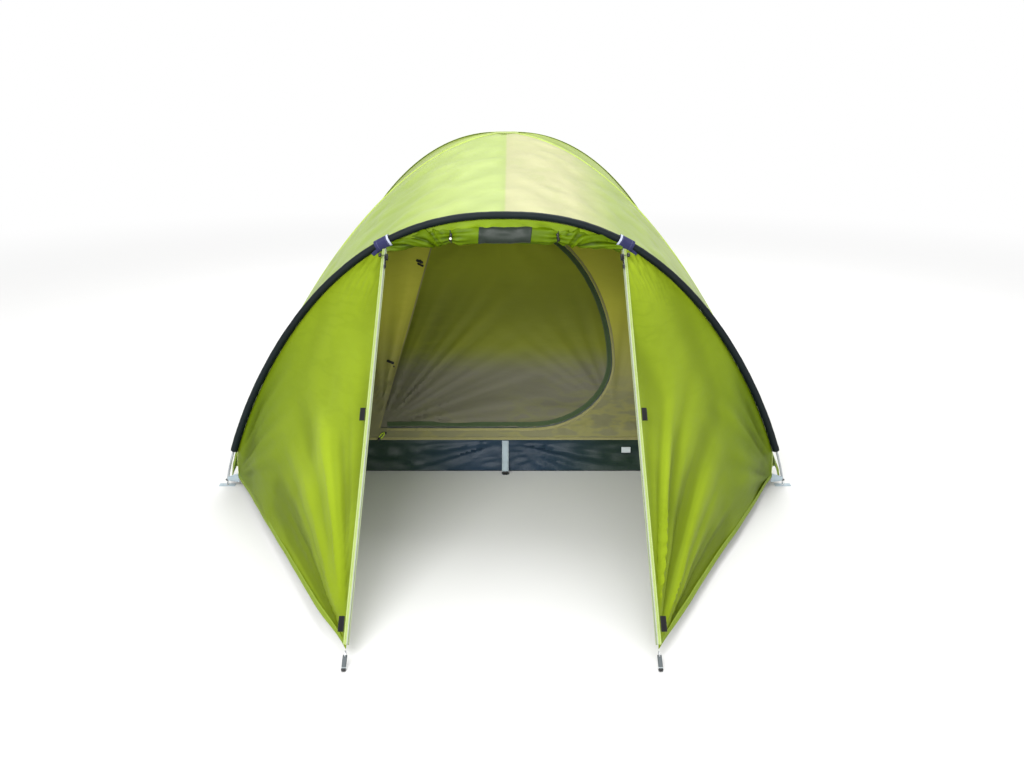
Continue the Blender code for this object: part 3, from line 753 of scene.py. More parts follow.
@dataclass(frozen=True)
class TentLines:
    """The lines that the poles and the sewn edges follow.

    Attributes:
        half_width: The tent's middle to a dome pole's foot.
        half_length: The dome's middle to the row of its feet.
        dome_y: Where the dome's middle stands.
        dome_height: The ground to the lower pole at the crossing.
        hoop_half_width: The tent's middle to the hoop's foot.
        hoop_height: The ground to the top of the hoop.
        hoop_y: Where the hoop's feet stand.
        peg_y: Where the front pegs hold the wings.
        roundness: The arches' exponent: smaller is boxier.
        hoop_shoulder: The hoop's exponent across: smaller has wider shoulders.
        hoop_lean: How far the hoop's top stands forward of its feet.
        fly_lift: A pole's centre line to the flysheet.
        inner_drop: A dome pole's centre line to the inner tent's cloth.
        hem: The flysheet's lower edge at the poles, above the ground.
        hem_rise: How much higher it is between them.
        crown_hole: The crossing to where the panels begin.
        clip_angle: The ridge angle of the clips.
        clip_share: The share of a wall's seam that lies above its clip.
        tub_height: The ground to the tub's rim.
        sleeve_radius: The hoop sleeve's radius.
        sleeve_seam: The sleeve to the cloth that is sewn to it.
        sleeve_end: The height at which the sleeve ends.
        door_half_width: The tent's middle to the top of a porch zip.
        peg_half_spacing: The tent's middle to its lower end.
        peg_height: The height of that end.
        sag: A panel's dip, as a share of its width.
        pole_radius: A pole's radius.
    """

    half_width: float
    half_length: float
    dome_y: float
    dome_height: float
    hoop_half_width: float
    hoop_height: float
    hoop_y: float
    peg_y: float
    roundness: float = 1.6
    hoop_shoulder: float = 0.86
    hoop_lean: float = 0.20
    fly_lift: float = 0.024
    inner_drop: float = 0.035
    hem: float = 0.045
    hem_rise: float = 0.03
    crown_hole: float = 0.03
    clip_angle: float = math.radians(28)
    clip_share: float = 0.4
    tub_height: float = 0.128
    sleeve_radius: float = 0.012
    sleeve_seam: float = 0.003
    sleeve_end: float = 0.15
    door_half_width: float = 0.41
    peg_half_spacing: float = 0.42
    peg_height: float = 0.035
    sag: float = 0.018
    pole_radius: float = 0.00425

    @classmethod
    def from_frame(cls) -> "TentLines":
        """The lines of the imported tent, read from its nodes' boxes."""
        rear, front = middle_of("corner_tab_rear_right"), middle_of("corner_tab_front_right")
        foot = middle_of("hoop_tab_right")
        zip_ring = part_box("peg_ring_right")
        return cls(
            half_width=rear.x,
            half_length=(rear.y - front.y) / 2,
            dome_y=(rear.y + front.y) / 2,
            dome_height=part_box("dome_pole_a_section_4")[1].z - cls.pole_radius,
            hoop_half_width=foot.x,
            hoop_height=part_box("hoop_pole_section_3")[1].z - cls.pole_radius,
            hoop_y=foot.y,
            peg_y=zip_ring[1].y + 0.0016,
        )

    @property
    def inside(self) -> Vector:
        """A point in the middle of the dome."""
        return Vector((0, self.dome_y - 0.3, 0.35))

    def ridge(self, side: int, end: int, angle: float, offset: float = 0.0) -> Vector:
        """A point beside a dome pole.

        Args:
            side: -1 for the left leg, 1 for the right one.
            end: -1 for the front, 1 for the rear.
            angle: 0 at the crown, a quarter turn at the foot.
            offset: Outwards in the pole's own upright plane.

        Returns:
            The point.
        """
        span = math.hypot(self.half_width, self.half_length)
        cosine = max(math.cos(angle), 1e-9)
        outward = self.roundness * self.dome_height * cosine ** (self.roundness - 1) * math.sin(angle)
        upward = span * cosine
        length = math.hypot(outward, upward)
        share = (span * math.sin(angle) + offset * outward / length) / span
        rise = self.dome_height * cosine**self.roundness + offset * upward / length
        return Vector((side * share * self.half_width, self.dome_y + end * share * self.half_length, rise))

    @lru_cache(maxsize=None)
    def ridge_angle(self, height: float, offset: float = 0.0) -> float:
        """The ridge angle at which an offset line comes down to a height."""
        return bisect(lambda a: self.ridge(1, 1, a, offset).z > height, 0.0, math.pi / 2)

    def crown_angle(self, half_width: float) -> float:
        """The ridge angle at a distance from the crown, across the tent."""
        return math.asin(half_width / self.half_width)

    def hoop(self, angle: float, inward: float = 0.0, forward: float = 0.0) -> Vector:
        """A point beside the hoop.

        Args:
            angle: 0 at the top, a quarter turn at the right foot and minus that at the left one.
            inward: Towards the middle, in the hoop's leaning plane.
            forward: Towards the doorway.

        Returns:
            The point.
        """
        sine, cosine = max(math.sin(abs(angle)), 1e-9), max(math.cos(angle), 1e-9)
        side = -1 if angle < 0 else 1
        outward = self.roundness * self.hoop_height * cosine ** (self.roundness - 1) * sine
        upward = self.hoop_shoulder * self.hoop_half_width * sine ** (self.hoop_shoulder - 1) * cosine
        length = math.hypot(outward, upward)
        across = self.hoop_half_width * sine**self.hoop_shoulder - inward * outward / length
        rise = self.hoop_height * cosine**self.roundness - inward * upward / length
        return Vector((side * across, self.hoop_y - self.hoop_lean * rise / self.hoop_height - forward, rise))

    @lru_cache(maxsize=None)
    def hoop_angle_at(self, across: float | None = None, height: float | None = None) -> float:
        """The hoop angle at a distance from the middle, or at a height."""
        if across is not None:
            return bisect(lambda a: self.hoop(a).x < across, 0.0, math.pi / 2)
        return bisect(lambda a: self.hoop(a).z > height, 0.0, math.pi / 2)

    def hoop_frame(self, angle: float) -> tuple[Vector, Vector, Vector, Vector]:
        """The hoop's centre, heading, inward and forward directions at an angle."""
        centre = self.hoop(angle)
        heading = (self.hoop(angle + 0.001) - self.hoop(angle - 0.001)).normalized()
        inward = (self.hoop(angle, 0.01) - centre).normalized()
        return centre, heading, inward, heading.cross(inward).normalized()

    def ruled(self, first: Vector, second: Vector, share: float, sag: float) -> Vector:
        """A point between two edges, dipped towards the middle of the tent."""
        middle = first.lerp(second, 0.5)
        inward = Vector((-middle.x, self.dome_y - middle.y, -middle.z)).normalized()
        return first.lerp(second, share) + inward * (sag * (second - first).length * 4 * share * (1 - share))

    def zip_line(self, side: int) -> tuple[Vector, Vector]:
        """The top and bottom of a doorway zip."""
        angle = self.hoop_angle_at(self.door_half_width)
        top = self.hoop(side * angle, self.sleeve_radius + self.sleeve_seam, 0.0018)
        return top, Vector((side * self.peg_half_spacing, self.peg_y, self.peg_height))

    def inner_foot(self) -> float:
        """The ridge angle at the inner cloth's lower edge."""
        return self.ridge_angle(self.tub_height + 0.0028, -self.inner_drop)

    def inner_ridge(self, side: int, end: int, share: float) -> Vector:
        """The inner cloth's corner seam: along the pole to the clip, and straight down from there."""
        top = self.crown_angle(self.crown_hole)
        if share < self.clip_share:
            angle = top + (self.clip_angle - top) * share / self.clip_share
            return self.ridge(side, end, angle, -self.inner_drop)
        hung = self.ridge(side, end, self.clip_angle, -self.inner_drop)
        foot = self.ridge(side, end, self.inner_foot(), -self.inner_drop)
        return hung.lerp(foot, (share - self.clip_share) / (1 - self.clip_share))

    def front_face(self, x: float, height: float, proud: float = 0.0) -> Vector:
        """A point in front of the inner tent's flat front."""
        high, low = self.inner_ridge(1, -1, self.clip_share), self.inner_ridge(1, -1, 1.0)
        place = low.lerp(high, (height - low.z) / (high.z - low.z))
        return Vector((x, place.y, place.z)) + self.front_normal() * proud

    def front_normal(self) -> Vector:
        """The way that the inner tent's flat front faces."""
        lean = self.inner_ridge(1, -1, self.clip_share) - self.inner_ridge(1, -1, 1.0)
        return Vector((0, -lean.z, lean.y)).normalized()


# --- mesh tools --------------------------------------------------------------------------------------------


def soft_step(value: float, low: float, high: float) -> float:
    """0 below low, 1 above high and a smooth rise between them."""
    share = min(max((value - low) / (high - low), 0.0), 1.0)
    return share * share * (3 - 2 * share)


def pinned(*shares: float, margin: float = 0.06) -> float:
    """0 where any share is at 0 or 1, rising to 1 a margin away: cloth that is sewn down there."""
    return math.prod(soft_step(min(share, 1 - share), 0.0, margin) for share in shares)


def ripple(place: Vector, direction: Vector, width: float, seed: float, long: float = 6.0) -> float:
    """Folds from -1 to 1 that run along a direction.

    Args:
        place: Where on the cloth.
        direction: The way the folds run, a unit vector.
        width: A fold's width.
        seed: Sets the pattern.
        long: How much longer than wide a fold is.

    Returns:
        The fold's height there.
    """
    along = place.dot(direction)
    flat = (place - direction * along) / width + direction * (along / (width * long))
    return noise.noise(flat + Vector((seed, seed * 0.7, -seed)))


def fan(place: Vector, apex: Vector, folds: float, start: float, end: float, seed: float) -> float:
    """Folds from -1 to 1 that spread from a point that pulls on the cloth.

    Args:
        place: Where on the cloth.
        apex: The point that pulls.
        folds: How many folds there are to a radian.
        start: How far from it they are at their deepest.
        end: How far from it they end.
        seed: Sets the pattern.

    Returns:
        The fold's height there.
    """
    arm = place - apex
    reach = arm.length
    if reach < 1e-6:
        return 0.0
    window = soft_step(reach, 0.0, start) * (1 - soft_step(reach, start, end))
    return noise.noise(arm * (folds / reach) + Vector((seed, -seed, seed * 0.3))) * window


def spaced(start: float, end: float, count: int) -> list[float]:
    """Values evenly spaced from start to end, both included."""
    return [start + (end - start) * number / (count - 1) for number in range(count)]


def full_turn(count: int) -> list[float]:
    """Angles evenly spaced round a full turn."""
    return [math.tau * number / count for number in range(count)]


def distances(line: Sequence[Vector]) -> list[float]:
    """The distance along a line to each of its points."""
    steps = [0.0]
    for first, second in zip(line, line[1:]):
        steps.append(steps[-1] + (second - first).length)
    return steps


def mesh_from(name: str, bm: bmesh.types.BMesh) -> bpy.types.Mesh:
    """A mesh from an edited one, which is freed."""
    mesh = bpy.data.meshes.new(name)
    bm.to_mesh(mesh)
    bm.free()
    return mesh


def in_scene(name: str, data: bpy.types.ID) -> bpy.types.Object:
    """A new object in the scene."""
    obj = bpy.data.objects.new(name, data)
    bpy.context.scene.collection.objects.link(obj)
    return obj


def object_of(name: str, bm: bmesh.types.BMesh, finish: object) -> bpy.types.Object:
    """A new object in the scene from an edited mesh, shaded smooth and dressed."""
    mesh = mesh_from(name, bm)
    obj = in_scene(name, mesh)
    mesh.materials.append(made(finish))
    mesh.shade_smooth()
    mesh.set_sharp_from_angle(angle=math.radians(50))
    return obj


def baked(obj: bpy.types.Object) -> bpy.types.Object:
    """The object with its modifiers applied to its mesh."""
    bpy.context.view_layer.update()
    evaluated = obj.evaluated_get(bpy.context.evaluated_depsgraph_get())
    obj.data = bpy.data.meshes.new_from_object(evaluated)
    obj.modifiers.clear()
    return obj


def thickened(obj: bpy.types.Object, thickness: float, offset: float = 0.0) -> bpy.types.Object:
    """The object as a shell: offset is 0 for a shell on both sides of its mesh, -1 for one inside it."""
    shell = obj.modifiers.new("Thickness", "SOLIDIFY")
    shell.thickness = thickness
    shell.offset = offset
    return baked(obj)


@dataclass(frozen=True)
class Fitting:
    """Where a piece belongs.

    Attributes:
        body: The body that it rides on.
        slot: A material slot's name; not used.
        replaces: The CAD nodes that it stands for.
    """

    body: Body
    slot: Slot
    replaces: tuple[str, ...] = ()

    def fit(self, obj: bpy.types.Object) -> bpy.types.Object:
        """Puts a piece on its body and reports it."""
        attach(obj, self.body.value)
        if self.replaces:
            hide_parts(*self.replaces)
        LOG.info("%s: %d faces, on %s", obj.name, len(obj.data.polygons), self.body.value)
        return obj


@dataclass
class Sheet:
    """A sheet of cloth laid over a surface and pressed into folds.

    Attributes:
        name: The piece's name.
        surface: The cloth's middle layer, u and v from 0 to 1.
        columns: Faces across.
        rows: Faces down.
        inside: A point that the cloth's back faces.
        relief: The folds' height outwards at u, v and a place.
        thickness: The cloth's thickness.
    """

    name: str
    surface: Surface
    columns: int
    rows: int
    inside: Vector
    relief: Relief | None = None
    thickness: float = 0.0009

    def build(self, finish: object, held: Held | None, rests_on: Sequence[str] = ()) -> bpy.types.Object:
        """Args:
            finish: Its finish.
            held: How it is held, or None where its cut size is logged later.
            rests_on: What it hangs from or lies on; not used.

        Returns:
            The sheet as an object.
        """
        points = self._points()
        widths = [distances(row) for row in points]
        lengths = distances([row[self.columns // 2] for row in points])
        normals = self._normals(points)
        bm = bmesh.new()
        verts = []
        fold = bm.verts.layers.float.new(FOLD)
        for j, row in enumerate(points):
            line = []
            for i, point in enumerate(row):
                lift = self.relief(i / self.columns, j / self.rows, point) if self.relief else 0.0
                vert = bm.verts.new(point + normals[j][i] * lift)
                vert[fold] = lift
                line.append(vert)
            verts.append(line)
        layer = bm.loops.layers.uv.new("cloth")
        flip = self._facing(points, normals)
        for j in range(self.rows):
            for i in range(self.columns):
                corners = [(j, i), (j, i + 1), (j + 1, i + 1), (j + 1, i)]
                if flip:
                    corners.reverse()
                face = bm.faces.new([verts[b][a] for b, a in corners])
                for loop, (b, a) in zip(face.loops, corners):
                    loop[layer].uv = (widths[b][a] - widths[b][-1] / 2, lengths[b])
        area = sum(
            (points[j][i + 1] - points[j][i]).cross(points[j + 1][i] - points[j][i]).length
            for j in range(self.rows)
            for i in range(self.columns)
        )
        obj = thickened(object_of(self.name, bm, finish), self.thickness)
        if held:
            declare(obj, max(row[-1] for row in widths), self._longest(points), area, held)
        return obj

    def _points(self) -> list[list[Vector]]:
        """The surface's points, row by row."""
        return [
            [self.surface(i / self.columns, j / self.rows) for i in range(self.columns + 1)]
            for j in range(self.rows + 1)
        ]

    def _longest(self, points: list[list[Vector]]) -> float:
        """The longest way down the sheet."""
        return max(distances([row[i] for row in points])[-1] for i in range(self.columns + 1))

    def _normals(self, points: list[list[Vector]]) -> list[list[Vector]]:
        """The surface's outward directions, row by row."""
        normals = []
        for j, row in enumerate(points):
            line = []
            above, below = points[max(j - 1, 0)], points[min(j + 1, self.rows)]
            for i in range(len(row)):
                across = row[min(i + 1, self.columns)] - row[max(i - 1, 0)]
                normal = across.cross(below[i] - above[i])
                if normal.length < 1e-12:
                    normal = UP.copy()
                normal.normalize()
                line.append(normal if normal.dot(row[i] - self.inside) > 0 else -normal)
            normals.append(line)
        return normals

    def _facing(self, points: list[list[Vector]], normals: list[list[Vector]]) -> bool:
        """Whether faces made in reading order would face inwards."""
        j, i = self.rows // 2, self.columns // 2
        natural = (points[j][i + 1] - points[j][i]).cross(points[j + 1][i] - points[j][i])
        return natural.dot(normals[j][i]) < 0


def declare(
    obj: bpy.types.Object, width: float, length: float, area: float, held: Held
) -> None:
    """Logs a sheet of cloth's cut size and the share of it that is used."""
    share = area / (width * length)
    flat_area = area if share < 0.99 else None
    LOG.info("%s: cut from %.2f x %.2f m, %.2f of it used", obj.name, width, length, share)


def loft(
    name: str,
    rings: Sequence[Sequence[Vector]],
    finish: object,
    closed: bool = False,
    lifts: Sequence[Sequence[float]] | None = None,
) -> bpy.types.Object:
    """A skin over a row of rings.

    Args:
        name: The piece's name.
        rings: Rings of as many points each, in order.
        finish: Its finish.
        closed: Whether the last ring meets the first; if not, both ends are capped.
        lifts: How far the folds stand out at each point.

    Returns:
        The piece, whose cloth coordinates run along it and round it in metres.
    """
    sides = len(rings[0])
    bm = bmesh.new()
    fold = bm.verts.layers.float.new(FOLD)
    layer = bm.loops.layers.uv.new("cloth")
    verts = [[bm.verts.new(point) for point in ring] for ring in rings]
    for ring, heights in zip(verts, lifts or ()):
        for vert, height in zip(ring, heights):
            vert[fold] = height
    centres = [sum(ring, Vector()) / sides for ring in rings]
    along = [0.0]
    for first, second in zip(centres, centres[1:] + centres[:1]):
        along.append(along[-1] + (second - first).length)
    for j in range(len(rings) if closed else len(rings) - 1):
        following = (j + 1) % len(rings)
        around = distances([*rings[j], rings[j][0]])
        for i in range(sides):
            turn = (i + 1) % sides
            face = bm.faces.new([verts[j][i], verts[j][turn], verts[following][turn], verts[following][i]])
            spots = ((j, i), (j, i + 1), (j + 1, i + 1), (j + 1, i))
            for loop, (b, a) in zip(face.loops, spots):
                loop[layer].uv = (along[b], around[a])
    if not closed:
        bm.faces.new(list(reversed(verts[0])))
        bm.faces.new(verts[-1])
    bmesh.ops.recalc_face_normals(bm, faces=bm.faces)
    return object_of(name, bm, finish)


def headings(points: Sequence[Vector], closed: bool = False) -> list[Vector]:
    """The direction of a line at each of its points."""
    count = len(points)
    found = []
    for index in range(count):
        before = points[(index - 1) % count] if closed else points[max(index - 1, 0)]
        after = points[(index + 1) % count] if closed else points[min(index + 1, count - 1)]
        found.append((after - before).normalized())
    return found


def bar(
    name: str,
    points: Sequence[Vector],
    radii: float | Sequence[float],
    finish: object,
    closed: bool = False,
    sides: int = 12,
) -> bpy.types.Object:
    """A round bar, wire or cord along points, with one radius or a radius at each point."""
    sizes = [radii] * len(points) if isinstance(radii, (int, float)) else list(radii)
    ways = headings(points, closed)
    across = ways[0].orthogonal().normalized()
    rings = []
    for point, way, size in zip(points, ways, sizes):
        across = (across - way * across.dot(way)).normalized()
        upright = way.cross(across)
        turns = full_turn(sides)
        rings.append([point + (across * math.cos(a) + upright * math.sin(a)) * size for a in turns])
    return loft(name, rings, finish, closed)


def strap(
    name: str,
    points: Sequence[Vector],
    normals: Sequence[Vector] | Vector,
    width: float | Sequence[float],
    thickness: float,
    finish: object,
    closed: bool = False,
) -> bpy.types.Object:
    """A flat strap along points, its face towards the normals and its edges rounded.

    Args:
        name: The piece's name.
        points: Its middle line.
        normals: The way its face looks, once or at each point.
        width: Its width, once or at each point.
        thickness: Its thickness.
        finish: Its finish.
        closed: Whether it is a loop.

    Returns:
        The strap, whose cloth coordinates run along it and across it from its middle.
    """
    faces = [normals] * len(points) if isinstance(normals, Vector) else list(normals)
    widths = [width] * len(points) if isinstance(width, (int, float)) else list(width)
    spread = (-1.0, -0.94, -0.5, 0.0, 0.5, 0.94, 1.0)
    depth = (0.25, 0.9, 1.0, 1.0, 1.0, 0.9, 0.25)
    profile = list(zip(spread, depth)) + [(s, -d) for s, d in reversed(list(zip(spread, depth)))]
    rings = []
    for point, way, face, wide in zip(points, headings(points, closed), faces, widths):
        across = way.cross(face).normalized()
        upright = across.cross(way).normalized()
        rings.append([point + across * (s * wide / 2) + upright * (d * thickness / 2) for s, d in profile])
    obj = loft(name, rings, finish, closed)
    layer = obj.data.uv_layers["cloth"].data
    count = len(profile)
    for polygon in obj.data.polygons:
        for loop in polygon.loop_indices:
            index = obj.data.loops[loop].vertex_index
            side = profile[index % count][0]
            layer[loop].uv[1] = side * widths[(index // count) % len(widths)] / 2
    return obj


def block(name: str, size: Vector, turn: Matrix, finish: object, rounding: float) -> bpy.types.Object:
    """A moulded block with rounded edges, placed by a matrix."""
    bm = bmesh.new()
    bmesh.ops.create_cube(bm, size=1.0)
    bmesh.ops.scale(bm, vec=size, verts=bm.verts)
    rounded = {"offset": rounding, "segments": 3, "profile": 0.5, "affect": "EDGES", "clamp_overlap": True}
    bmesh.ops.bevel(bm, geom=bm.edges[:], **rounded)
    bmesh.ops.transform(bm, matrix=turn, verts=bm.verts)
    return object_of(name, bm, finish)


def joined(name: str, parts: Iterable[bpy.types.Object]) -> bpy.types.Object:
    """Several meshes made into one piece."""
    parts = list(parts)
    bm = bmesh.new()
    materials: list[bpy.types.Material] = []
    for part in parts:
        start = len(bm.faces)
        bm.from_mesh(part.data)
        own = part.data.materials[0]
        if own not in materials:
            materials.append(own)
        bm.faces.ensure_lookup_table()
        for face in bm.faces[start:]:
            face.material_index = materials.index(own)
    mesh = mesh_from(name, bm)
    for own in materials:
        mesh.materials.append(own)
    for part in parts:
        bpy.data.objects.remove(part)
    return in_scene(name, mesh)


def matrix_of(x: Vector, y: Vector, z: Vector, place: Vector) -> Matrix:
    """The placing matrix of three directions and a point."""
    return Matrix.Translation(place) @ Matrix((x, y, z)).transposed().to_4x4()


# --- flysheet ----------------------------------------------------------------------------------------------


@dataclass
class Flysheet:
    """The lime flysheet over the dome and out to the hoop, with its seams and hems.

    Attributes:
        lines: The tent's lines.
        seam_gap: From a ridge's centre line to a panel's sewn edge.
        seam_width: A taped seam's width.
        hem_width: A hem's width.
    """

    lines: TentLines
    seam_gap: float = 0.0018
    seam_width: float = 0.016
    hem_width: float = 0.018

    def build(self) -> None:
        """Builds every panel, seam and hem."""
        for name, side in SIDES.items():
            self._panel(f"fly_{name}", (side, -1), (side, 1), Vector((0, self.seam_gap, 0)), side * 3.1)
            self.wing(name, side)
        self._panel("fly_rear", (-1, 1), (1, 1), Vector((self.seam_gap, 0, 0)), 9.7)
        self.canopy()
        self.ridge_seams()
        self.crown_patch()

    def _corner_folds(self, place: Vector, seed: float) -> float:
        """Folds that spread from the four pole feet, and from the crown."""
        lines = self.lines
        height = 0.0
        for side in SIDES.values():
            for end in ENDS.values():
                foot = Vector((side * lines.half_width, lines.dome_y + end * lines.half_length, 0.02))
                height += fan(place, foot, 7.0, 0.3, 1.1, seed + side * 2 + end)
        crown = Vector((0, lines.dome_y, lines.dome_height + lines.fly_lift))
        return height + 0.6 * fan(place, crown, 6.0, 0.2, 0.7, seed + 5)

    def _face(self, surface: Surface, u: float, low: Vector, above: Vector, inside: Vector) -> Vector:
        """The outward direction of a panel beside its hem, from a point on the hem and one above it."""
        across = surface(min(u + 0.01, 1), 0.99) - surface(max(u - 0.01, 0), 0.99)
        face = across.cross(above - low).normalized()
        return face if face.dot(low - inside) > 0 else -face

    def _panel(
        self, name: str, first: tuple[int, int], second: tuple[int, int], shift: Vector, seed: float
    ) -> None:
        """A panel between two ridges, from the crown to its hem.

        Args:
            name: The panel's CAD node.
            first: The side and end of the ridge at u = 0.
            second: The side and end of the ridge at u = 1.
            shift: From the first ridge's centre line to the panel's sewn edge.
            seed: Sets the pattern of its folds.
        """
        lines = self.lines
        top = lines.crown_angle(lines.crown_hole)

        def surface(u: float, v: float) -> Vector:
            """The panel's middle layer."""
            hem = lines.hem + lines.hem_rise * 4 * u * (1 - u)
            angle = top + (lines.ridge_angle(hem, lines.fly_lift) - top) * v
            start = lines.ridge(*first, angle, lines.fly_lift) + shift
            end = lines.ridge(*second, angle, lines.fly_lift) - shift
            return lines.ruled(start, end, u, lines.sag)

        slope = (surface(0.5, 0.8) - surface(0.5, 0.3)).normalized()

        def relief(u: float, v: float, place: Vector) -> float:
            """Tension folds from the corners, and slack that gathers above the hem."""
            slack = ripple(place, slope, 0.09, seed) * 0.008 * soft_step(v, 0.35, 0.95)
            broad = noise.noise(place * 2.2 + Vector((seed, 0, 0))) * 0.008
            return (self._corner_folds(place, seed) * 0.016 + slack + broad) * pinned(u, margin=0.05)

        panel = Sheet(name, surface, 72, 96, lines.inside, relief).build(
            FLY_BACK, Held.STRETCHED, ("dome_pole_a_section_4", "dome_pole_b_section_4")
        )
        Fitting(Body.TENT, Slot.FLY, (name,)).fit(panel)
        edge, faces = [], []
        for u in spaced(0.004, 0.996, 73):
            low, above = surface(u, 0.996), surface(u, 0.98)
            face = self._face(surface, u, low, above, lines.inside)
            rise = relief(u, 0.99, low)
            edge.append(low.lerp(above, 0.35) + face * (rise + 0.0009))
            faces.append(face)
        hem = strap(f"{name}_hem", edge, faces, self.hem_width, 0.0012, HEM_TAPE)
        Fitting(Body.TENT, Slot.FLY).fit(hem)

    def canopy(self) -> None:
        """The panel from the front ridges forward to the hoop, with its middle seam."""
        lines = self.lines
        foot = lines.ridge_angle(lines.hem, lines.fly_lift)
        back_drop = Vector((0, self.seam_gap, 0))

        def surface(u: float, v: float) -> Vector:
            """The canopy's middle layer."""
            angle = foot * (2 * u - 1)
            back = lines.ridge(-1 if angle < 0 else 1, -1, abs(angle), lines.fly_lift) - back_drop
            front = lines.hoop(angle, lines.sleeve_radius + lines.sleeve_seam, -self.seam_gap)
            return back.lerp(front, v)

        def relief(u: float, v: float, place: Vector) -> float:
            """Slanting folds from the hoop's shoulders to the crown, and puckers behind the sleeve."""
            side = -1 if place.x < 0 else 1
            slant = Vector((side * 0.62, -0.74, 0.25)).normalized()
            folds = ripple(place, slant, 0.075, 4.0 + side) * 0.007
            folds += ripple(place, slant, 0.03, 7.0 + side) * 0.0022
            puckers = ripple(place, Vector((0, -1, 0)), 0.02, 2.5, 4.0) * 0.0016 * soft_step(v, 0.8, 0.97)
            corner = fan(place, lines.hoop(side * foot), 8.0, 0.2, 0.9, 3.3 + side) * 0.006
            seam = -0.004 * math.exp(-((place.x / 0.02) ** 2))
            loose = max(folds + corner + seam + 0.004, -0.001)
            return loose * pinned(v, margin=0.08) + puckers * pinned(v, margin=0.02)

        sheet = Sheet("fly_canopy", surface, 200, 56, lines.inside, relief)
        panel = sheet.build(FLY_CANOPY, Held.STRETCHED, ("hoop_sleeve",))
        Fitting(Body.TENT, Slot.FLY, ("fly_canopy",)).fit(panel)

    def wing(self, name: str, side: int) -> None:
        """The cloth from the hoop forward to a zip and down to the front peg, with its bound edges."""
        lines = self.lines
        top, bottom = lines.zip_line(side)
        high = lines.hoop_angle_at(lines.door_half_width + 0.035)
        low = lines.hoop_angle_at(None, lines.hem)

        def surface(u: float, v: float) -> Vector:
            """The wing's middle layer: u runs from the hoop to the zip, v from the top to the hem."""
            angle = high + (low - high) * v
            flare = max(0.0, 1 - lines.hoop(angle).z / lines.sleeve_end) * 0.035
            rear = lines.hoop(side * angle, lines.sleeve_radius + lines.sleeve_seam + flare, self.seam_gap)
            front = top.lerp(bottom, v**1.15)
            return rear.lerp(front, u)

        slope = (surface(0.5, 0.9) - surface(0.5, 0.2)).normalized()
        foot = surface(0.0, 1.0)
        zip_way = (bottom - top).normalized()

        def relief(u: float, v: float, place: Vector) -> float:
            """Folds that run to the peg and to the hoop's foot, and puckers along the zip."""
            to_peg = fan(place, bottom, 11.0, 0.3, 1.25, side * 2.3) * 0.024
            to_peg += fan(place, bottom, 27.0, 0.3, 1.05, side * 6.1) * 0.008
            to_foot = fan(place, foot, 8.0, 0.2, 0.7, side * 4.1) * 0.009
            broad = ripple(place, slope, 0.16, side * 1.7, 3.0) * 0.008
            near_top = math.exp(-(((place - top).length / 0.16) ** 2))
            waves = ripple(place, (zip_way + RIGHT * side * 0.5).normalized(), 0.014, side * 5.0, 5.0)
            along = (place - top).dot(zip_way)
            puckers = math.sin(along * math.tau / 0.034) * 0.0006 * math.exp(-(1 - u) / 0.05)
            fixed = pinned(u, margin=0.05) * soft_step(1 - v, -0.02, 0.02)
            return (to_peg + to_foot + broad + waves * 0.006 * near_top) * fixed + puckers

        inside = Vector((0, lines.hoop_y, 0.3))
        sheet = Sheet(f"wing_{name}", surface, 84, 140, inside, relief)
        panel = sheet.build(FLY_WING, Held.STRETCHED, ("hoop_sleeve", f"peg_ring_{name}"))
        Fitting(Body.TENT, Slot.FLY, (f"wing_{name}",)).fit(panel)
        self._wing_hem(name, surface, relief, inside)

    def _wing_hem(self, name: str, surface: Surface, relief: Relief, inside: Vector) -> None:
        """The hem along a wing's foot, and the pale binding on its free rear edge."""
        edge, faces = [], []
        for u in spaced(0.0, 0.985, 60):
            low, above = surface(u, 1.0), surface(u, 0.985)
            face = self._face(surface, u, low, above, inside)
            way = (above - low).normalized()
            edge.append(low + way * 0.008 + face * (relief(u, 0.995, low) + 0.001))
            faces.append(face)
        taper = [self.hem_width * (1 - 0.55 * soft_step(u, 0.85, 1.0)) for u in spaced(0.0, 0.985, 60)]
        Fitting(Body.TENT, Slot.FLY).fit(strap(f"wing_hem_{name}", edge, faces, taper, 0.0012, HEM_TAPE))
        start = next(v for v in spaced(0.0, 1.0, 400) if surface(0.0, v).z < self.lines.sleeve_end - 0.004)
        cord = [surface(0.004, v) for v in spaced(start, 1.0, 26)]
        Fitting(Body.TENT, Slot.FLY).fit(bar(f"wing_edge_cord_{name}", cord, 0.0016, BINDING, sides=8))

    def ridge_seams(self) -> None:
        """The taped seams over the poles, from the crown patch down to the hem."""
        lines = self.lines
        start, foot = lines.crown_angle(0.045), lines.ridge_angle(lines.hem - 0.004, lines.fly_lift)
        for end_name, end in ENDS.items():
            for side_name, side in SIDES.items():
                angles = spaced(start, foot, 90)
                path = [lines.ridge(side, end, a, lines.fly_lift + 0.0006) for a in angles]
                poles = [lines.ridge(side, end, a) for a in angles]
                outward = [
                    (lines.ridge(side, end, a, 0.03) - pole).normalized() for a, pole in zip(angles, poles)
                ]
                name = f"ridge_seam_{end_name}_{side_name}"
                seam = strap(name, path, outward, self.seam_width, 0.0016, SEAM_TAPE)
                Fitting(Body.TENT, Slot.FLY).fit(seam)

    def crown_patch(self) -> None:
        """The doubled square of cloth sewn over the crossing."""
        lines = self.lines
        low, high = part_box("crown_patch")
        half = (high.x - low.x) / 2

        def surface(u: float, v: float) -> Vector:
            """The patch's middle layer, which follows the four slopes of the crown."""
            x, y = (2 * u - 1) * half, (2 * v - 1) * half
            share = max(abs(x) / lines.half_width, abs(y) / lines.half_length)
            blunt = math.hypot(share, 0.012)
            crown = lines.ridge(1, 1, math.asin(blunt), lines.fly_lift + 0.0012)
            return Vector((x, lines.dome_y + y, crown.z))

